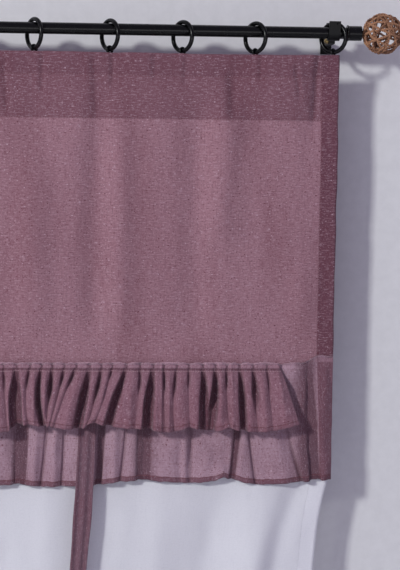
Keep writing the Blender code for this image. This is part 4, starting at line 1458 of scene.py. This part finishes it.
class CURTAIN_OT_rod(bpy.types.Operator):
    """Fit the rod, its end collars, the brackets and their screws."""

    bl_idname = "curtain.make_rod"
    bl_label = "Rod and brackets"

    def execute(self, context):
        palette = context.scene.curtain_colours
        paint = metal_material("rod_paint", palette.black, 0.20, 0.10)
        bracket_paint = metal_material("bracket_paint", palette.black, 0.42, 0.10)
        brass = metal_material("dull_brass", palette.brass, 0.34, 0.30, 1.0)
        rod = ((0.0, 0.0), (0.0, ROD_RADIUS), (ROD_LENGTH, ROD_RADIUS), (ROD_LENGTH, 0.0))
        start = (ROD_LOW.x, ROD_Y, ROD_Z)
        self.turned("rod_tube", rounded(rod, 0.0008), start, (1, 0, 0), paint, "black_metal", "rod")
        collar = (
            (CLEARANCE, 0.0),
            (CLEARANCE, COLLAR_RIM_RADIUS),
            (CLEARANCE + COLLAR_RIM_WIDTH, COLLAR_RIM_RADIUS),
            (CLEARANCE + COLLAR_RIM_WIDTH + 0.0006, COLLAR_RADIUS),
            (COLLAR_LENGTH, COLLAR_RADIUS),
            (COLLAR_LENGTH, 0.0),
        )
        head = ((0.0, 0.0), (0.0, SCREW_RADIUS), (0.6 * SCREW_LENGTH, SCREW_RADIUS),
                (SCREW_LENGTH, 0.55 * SCREW_RADIUS), (SCREW_LENGTH, 0.0))
        for word, side, x in SIDES:
            end = (x + side * ROD_OVERHANG, ROD_Y, ROD_Z)
            name = f"neck_{word}"
            node = f"collar_{word}"
            self.turned(name, rounded(collar, 0.0007), end, (side, 0, 0), paint, "black_metal", node)
            self.bracket(word, x, bracket_paint)
            seat = (x - side * (ARM_WIDTH / 2 + CLEARANCE), ROD_Y + SCREW_BEHIND_ROD, ROD_Z - ARM_BELOW_ROD)
            name = f"brass_screw_{word}"
            node = f"bracket_screw_{word}"
            self.turned(name, rounded(head, 0.0008), seat, (-side, 0, 0), brass, "brass", node)
        return {"FINISHED"}

    def turned(self, name, profile, place, axis, material, slot, node):
        bm = bmesh.new()
        lathe(bm, profile, TURNED_STEPS, place, axis)
        mesh = mesh_from(bm, name)
        mesh.set_sharp_from_angle(angle=math.radians(TURNED_SHARP))
        add_piece(name, mesh, material, (node,))

    def bracket(self, word, x, material):
        """A wall plate, an arm and the open cup under the rod, joined into one piece."""
        back = -PLATE_THICKNESS / 2
        front = ROD_Y + ROD_RADIUS + CLEARANCE + CRADLE_WALL / 2
        arm_place = (x, (front + back) / 2, ROD_Z - ARM_BELOW_ROD)
        parts = []
        for size, place, edge in (
            ((PLATE_WIDTH, PLATE_THICKNESS, PLATE_HEIGHT), (x, back, 0.0), 0.0009),
            ((ARM_WIDTH, back - front, ARM_HEIGHT), arm_place, 0.0012),
        ):
            bm = bmesh.new()
            add_box(bm, size, place, edge)
            parts.append(mesh_from(bm, "box"))
        plate, arm = parts
        bm = bmesh.new()
        outline = [Vector((x - CRADLE_WIDTH / 2, ROD_Y + y, ROD_Z + z)) for y, z in self.cup_outline()]
        face = bm.faces.new([bm.verts.new(point) for point in outline])
        pushed = bmesh.ops.extrude_face_region(bm, geom=[face])["geom"]
        for vertex in [part for part in pushed if isinstance(part, bmesh.types.BMVert)]:
            vertex.co.x += CRADLE_WIDTH
        rims = [edge for edge in bm.edges if len(edge.link_faces) == 2 and abs(edge.calc_face_angle()) > 1.2]
        bmesh.ops.bevel(bm, geom=rims, offset=0.0005, segments=2, affect="EDGES", profile=0.6)
        cup = mesh_from(bm, "cup")
        bm = bmesh.new()
        outline = ((0.0, 0.0), (0.0, HOLE_RADIUS), (HOLE_DEPTH, HOLE_RADIUS), (HOLE_DEPTH, 0.0))
        place = [middle + part for middle, part in zip((x, ROD_Y, ROD_Z), HOLE_PLACE)]
        lathe(bm, outline, HOLE_STEPS, place, (0, 1, 0))
        hole = mesh_from(bm, "hole")
        mesh = joined(plate, (arm, "UNION"), (cup, "UNION"), (hole, "DIFFERENCE"))
        mesh.name = f"wall_bracket_{word}"
        mesh.set_sharp_from_angle(angle=math.radians(BRACKET_SHARP))
        add_piece(mesh.name, mesh, material, (f"bracket_{word}",))

    def cup_outline(self):
        """The cup in the plane across the rod: down the outside, then up the inside."""
        inner = ROD_RADIUS + CLEARANCE
        outer = inner + CRADLE_WALL
        turns = [math.pi + math.pi * i / CUP_STEPS for i in range(CUP_STEPS + 1)]
        points = [(-outer - CRADLE_FLARE, CRADLE_TOP)]
        points += [(outer * math.cos(turn), outer * math.sin(turn)) for turn in turns]
        points += [(outer + CRADLE_FLARE, CRADLE_TOP), (inner + CRADLE_FLARE, CRADLE_TOP)]
        points += [(inner * math.cos(turn), inner * math.sin(turn)) for turn in reversed(turns)]
        return points + [(-inner - CRADLE_FLARE, CRADLE_TOP)]


class CURTAIN_OT_finials(bpy.types.Operator):
    """Weave an open ball of vines for each end of the rod."""

    bl_idname = "curtain.make_finials"
    bl_label = "Woven balls"

    def execute(self, context):
        material = vine_material()
        for word, side, x in SIDES:
            out = ROD_OVERHANG + COLLAR_LENGTH + 2 * CLEARANCE + BALL_RADIUS
            centre = Vector((x + side * out, ROD_Y, ROD_Z))
            name = f"vine_ball_{word}"
            add_piece(name, self.ball(name, centre), material, (f"finial_{word}",))
        return {"FINISHED"}

    def ball(self, name, centre):
        """Strands round the ball at spread-out slants, each a pair of vines twisted together."""
        sizes = bpy.context.scene.curtain_sizes
        shake = random.Random(name)
        bm = bmesh.new()
        strand = bm.loops.layers.uv.new("strand")
        for number in range(sizes.vine_count):
            height = (number + 0.5) / sizes.vine_count
            swing = math.pi * (3.0 - math.sqrt(5.0)) * number + shake.uniform(-0.25, 0.25)
            level = math.sqrt(1.0 - height * height)
            axis = Vector((level * math.cos(swing), level * math.sin(swing), height))
            start = axis.orthogonal().normalized()
            across = axis.cross(start)
            weave = shake.uniform(0.0, math.tau)
            weaves = shake.choice((5, 6, 7))
            drift = shake.uniform(-0.0035, 0.0035)
            twists = shake.choice((17, 19, 21))
            middle = []
            for step in range(VINE_STEPS):
                angle = math.tau * step / VINE_STEPS
                aside = drift + 0.0016 * math.sin(2 * angle + weave)
                reach = BALL_RADIUS - 1.3 * sizes.vine - 0.0007 + 0.0007 * math.sin(weaves * angle + weave)
                spoke = start * math.cos(angle) + across * math.sin(angle)
                middle.append((spoke * math.sqrt(reach ** 2 - aside ** 2) + axis * aside, axis))
            for half in (0.0, math.pi):
                points = []
                radii = []
                for step, (place, aside) in enumerate(middle):
                    angle = math.tau * step / VINE_STEPS
                    out = place.normalized()
                    turn = twists * angle + half
                    coil = aside * math.cos(turn) * 0.95 + out * math.sin(turn) * 0.75
                    points.append(centre + place + coil * sizes.vine * 0.62)
                    radii.append(sizes.vine * (0.70 + 0.10 * math.sin(9 * angle + weave + half)))
                add_tube(bm, points, radii, VINE_SIDES, centre, strand)
        return mesh_from(bm, name)


class CURTAIN_PT_tools(bpy.types.Panel):
    """Lists every step and every setting."""

    bl_idname = "CURTAIN_PT_tools"
    bl_label = "Curtain"
    bl_space_type = "VIEW_3D"
    bl_region_type = "UI"
    bl_category = "Curtain"

    def draw(self, context):
        scene = context.scene
        for step in CLASSES:
            if issubclass(step, bpy.types.Operator):
                self.layout.operator(step.bl_idname)
        for settings in (scene.curtain_sizes, scene.curtain_colours, scene.curtain_light):
            box = self.layout.box()
            for name in settings.__annotations__:
                box.prop(settings, name)


CLASSES = (
    CurtainSizes,
    CurtainColours,
    CurtainLight,
    CURTAIN_OT_stage,
    CURTAIN_OT_panel,
    CURTAIN_OT_ruffles,
    CURTAIN_OT_ties,
    CURTAIN_OT_sheer,
    CURTAIN_OT_rings,
    CURTAIN_OT_rod,
    CURTAIN_OT_finials,
    CURTAIN_PT_tools,
)


def register():
    for made in CLASSES:
        bpy.utils.register_class(made)
    bpy.types.Scene.curtain_sizes = bpy.props.PointerProperty(type=CurtainSizes)
    bpy.types.Scene.curtain_colours = bpy.props.PointerProperty(type=CurtainColours)
    bpy.types.Scene.curtain_light = bpy.props.PointerProperty(type=CurtainLight)


def unregister():
    del bpy.types.Scene.curtain_light
    del bpy.types.Scene.curtain_colours
    del bpy.types.Scene.curtain_sizes
    for made in reversed(CLASSES):
        bpy.utils.unregister_class(made)


def main():
    register()
    bpy.ops.curtain.make_stage()
    bpy.ops.curtain.make_panel()
    bpy.ops.curtain.make_ruffles()
    bpy.ops.curtain.make_ties()
    bpy.ops.curtain.make_sheer()
    bpy.ops.curtain.make_rings()
    bpy.ops.curtain.make_rod()
    bpy.ops.curtain.make_finials()


if __name__ == "__main__":
    main()
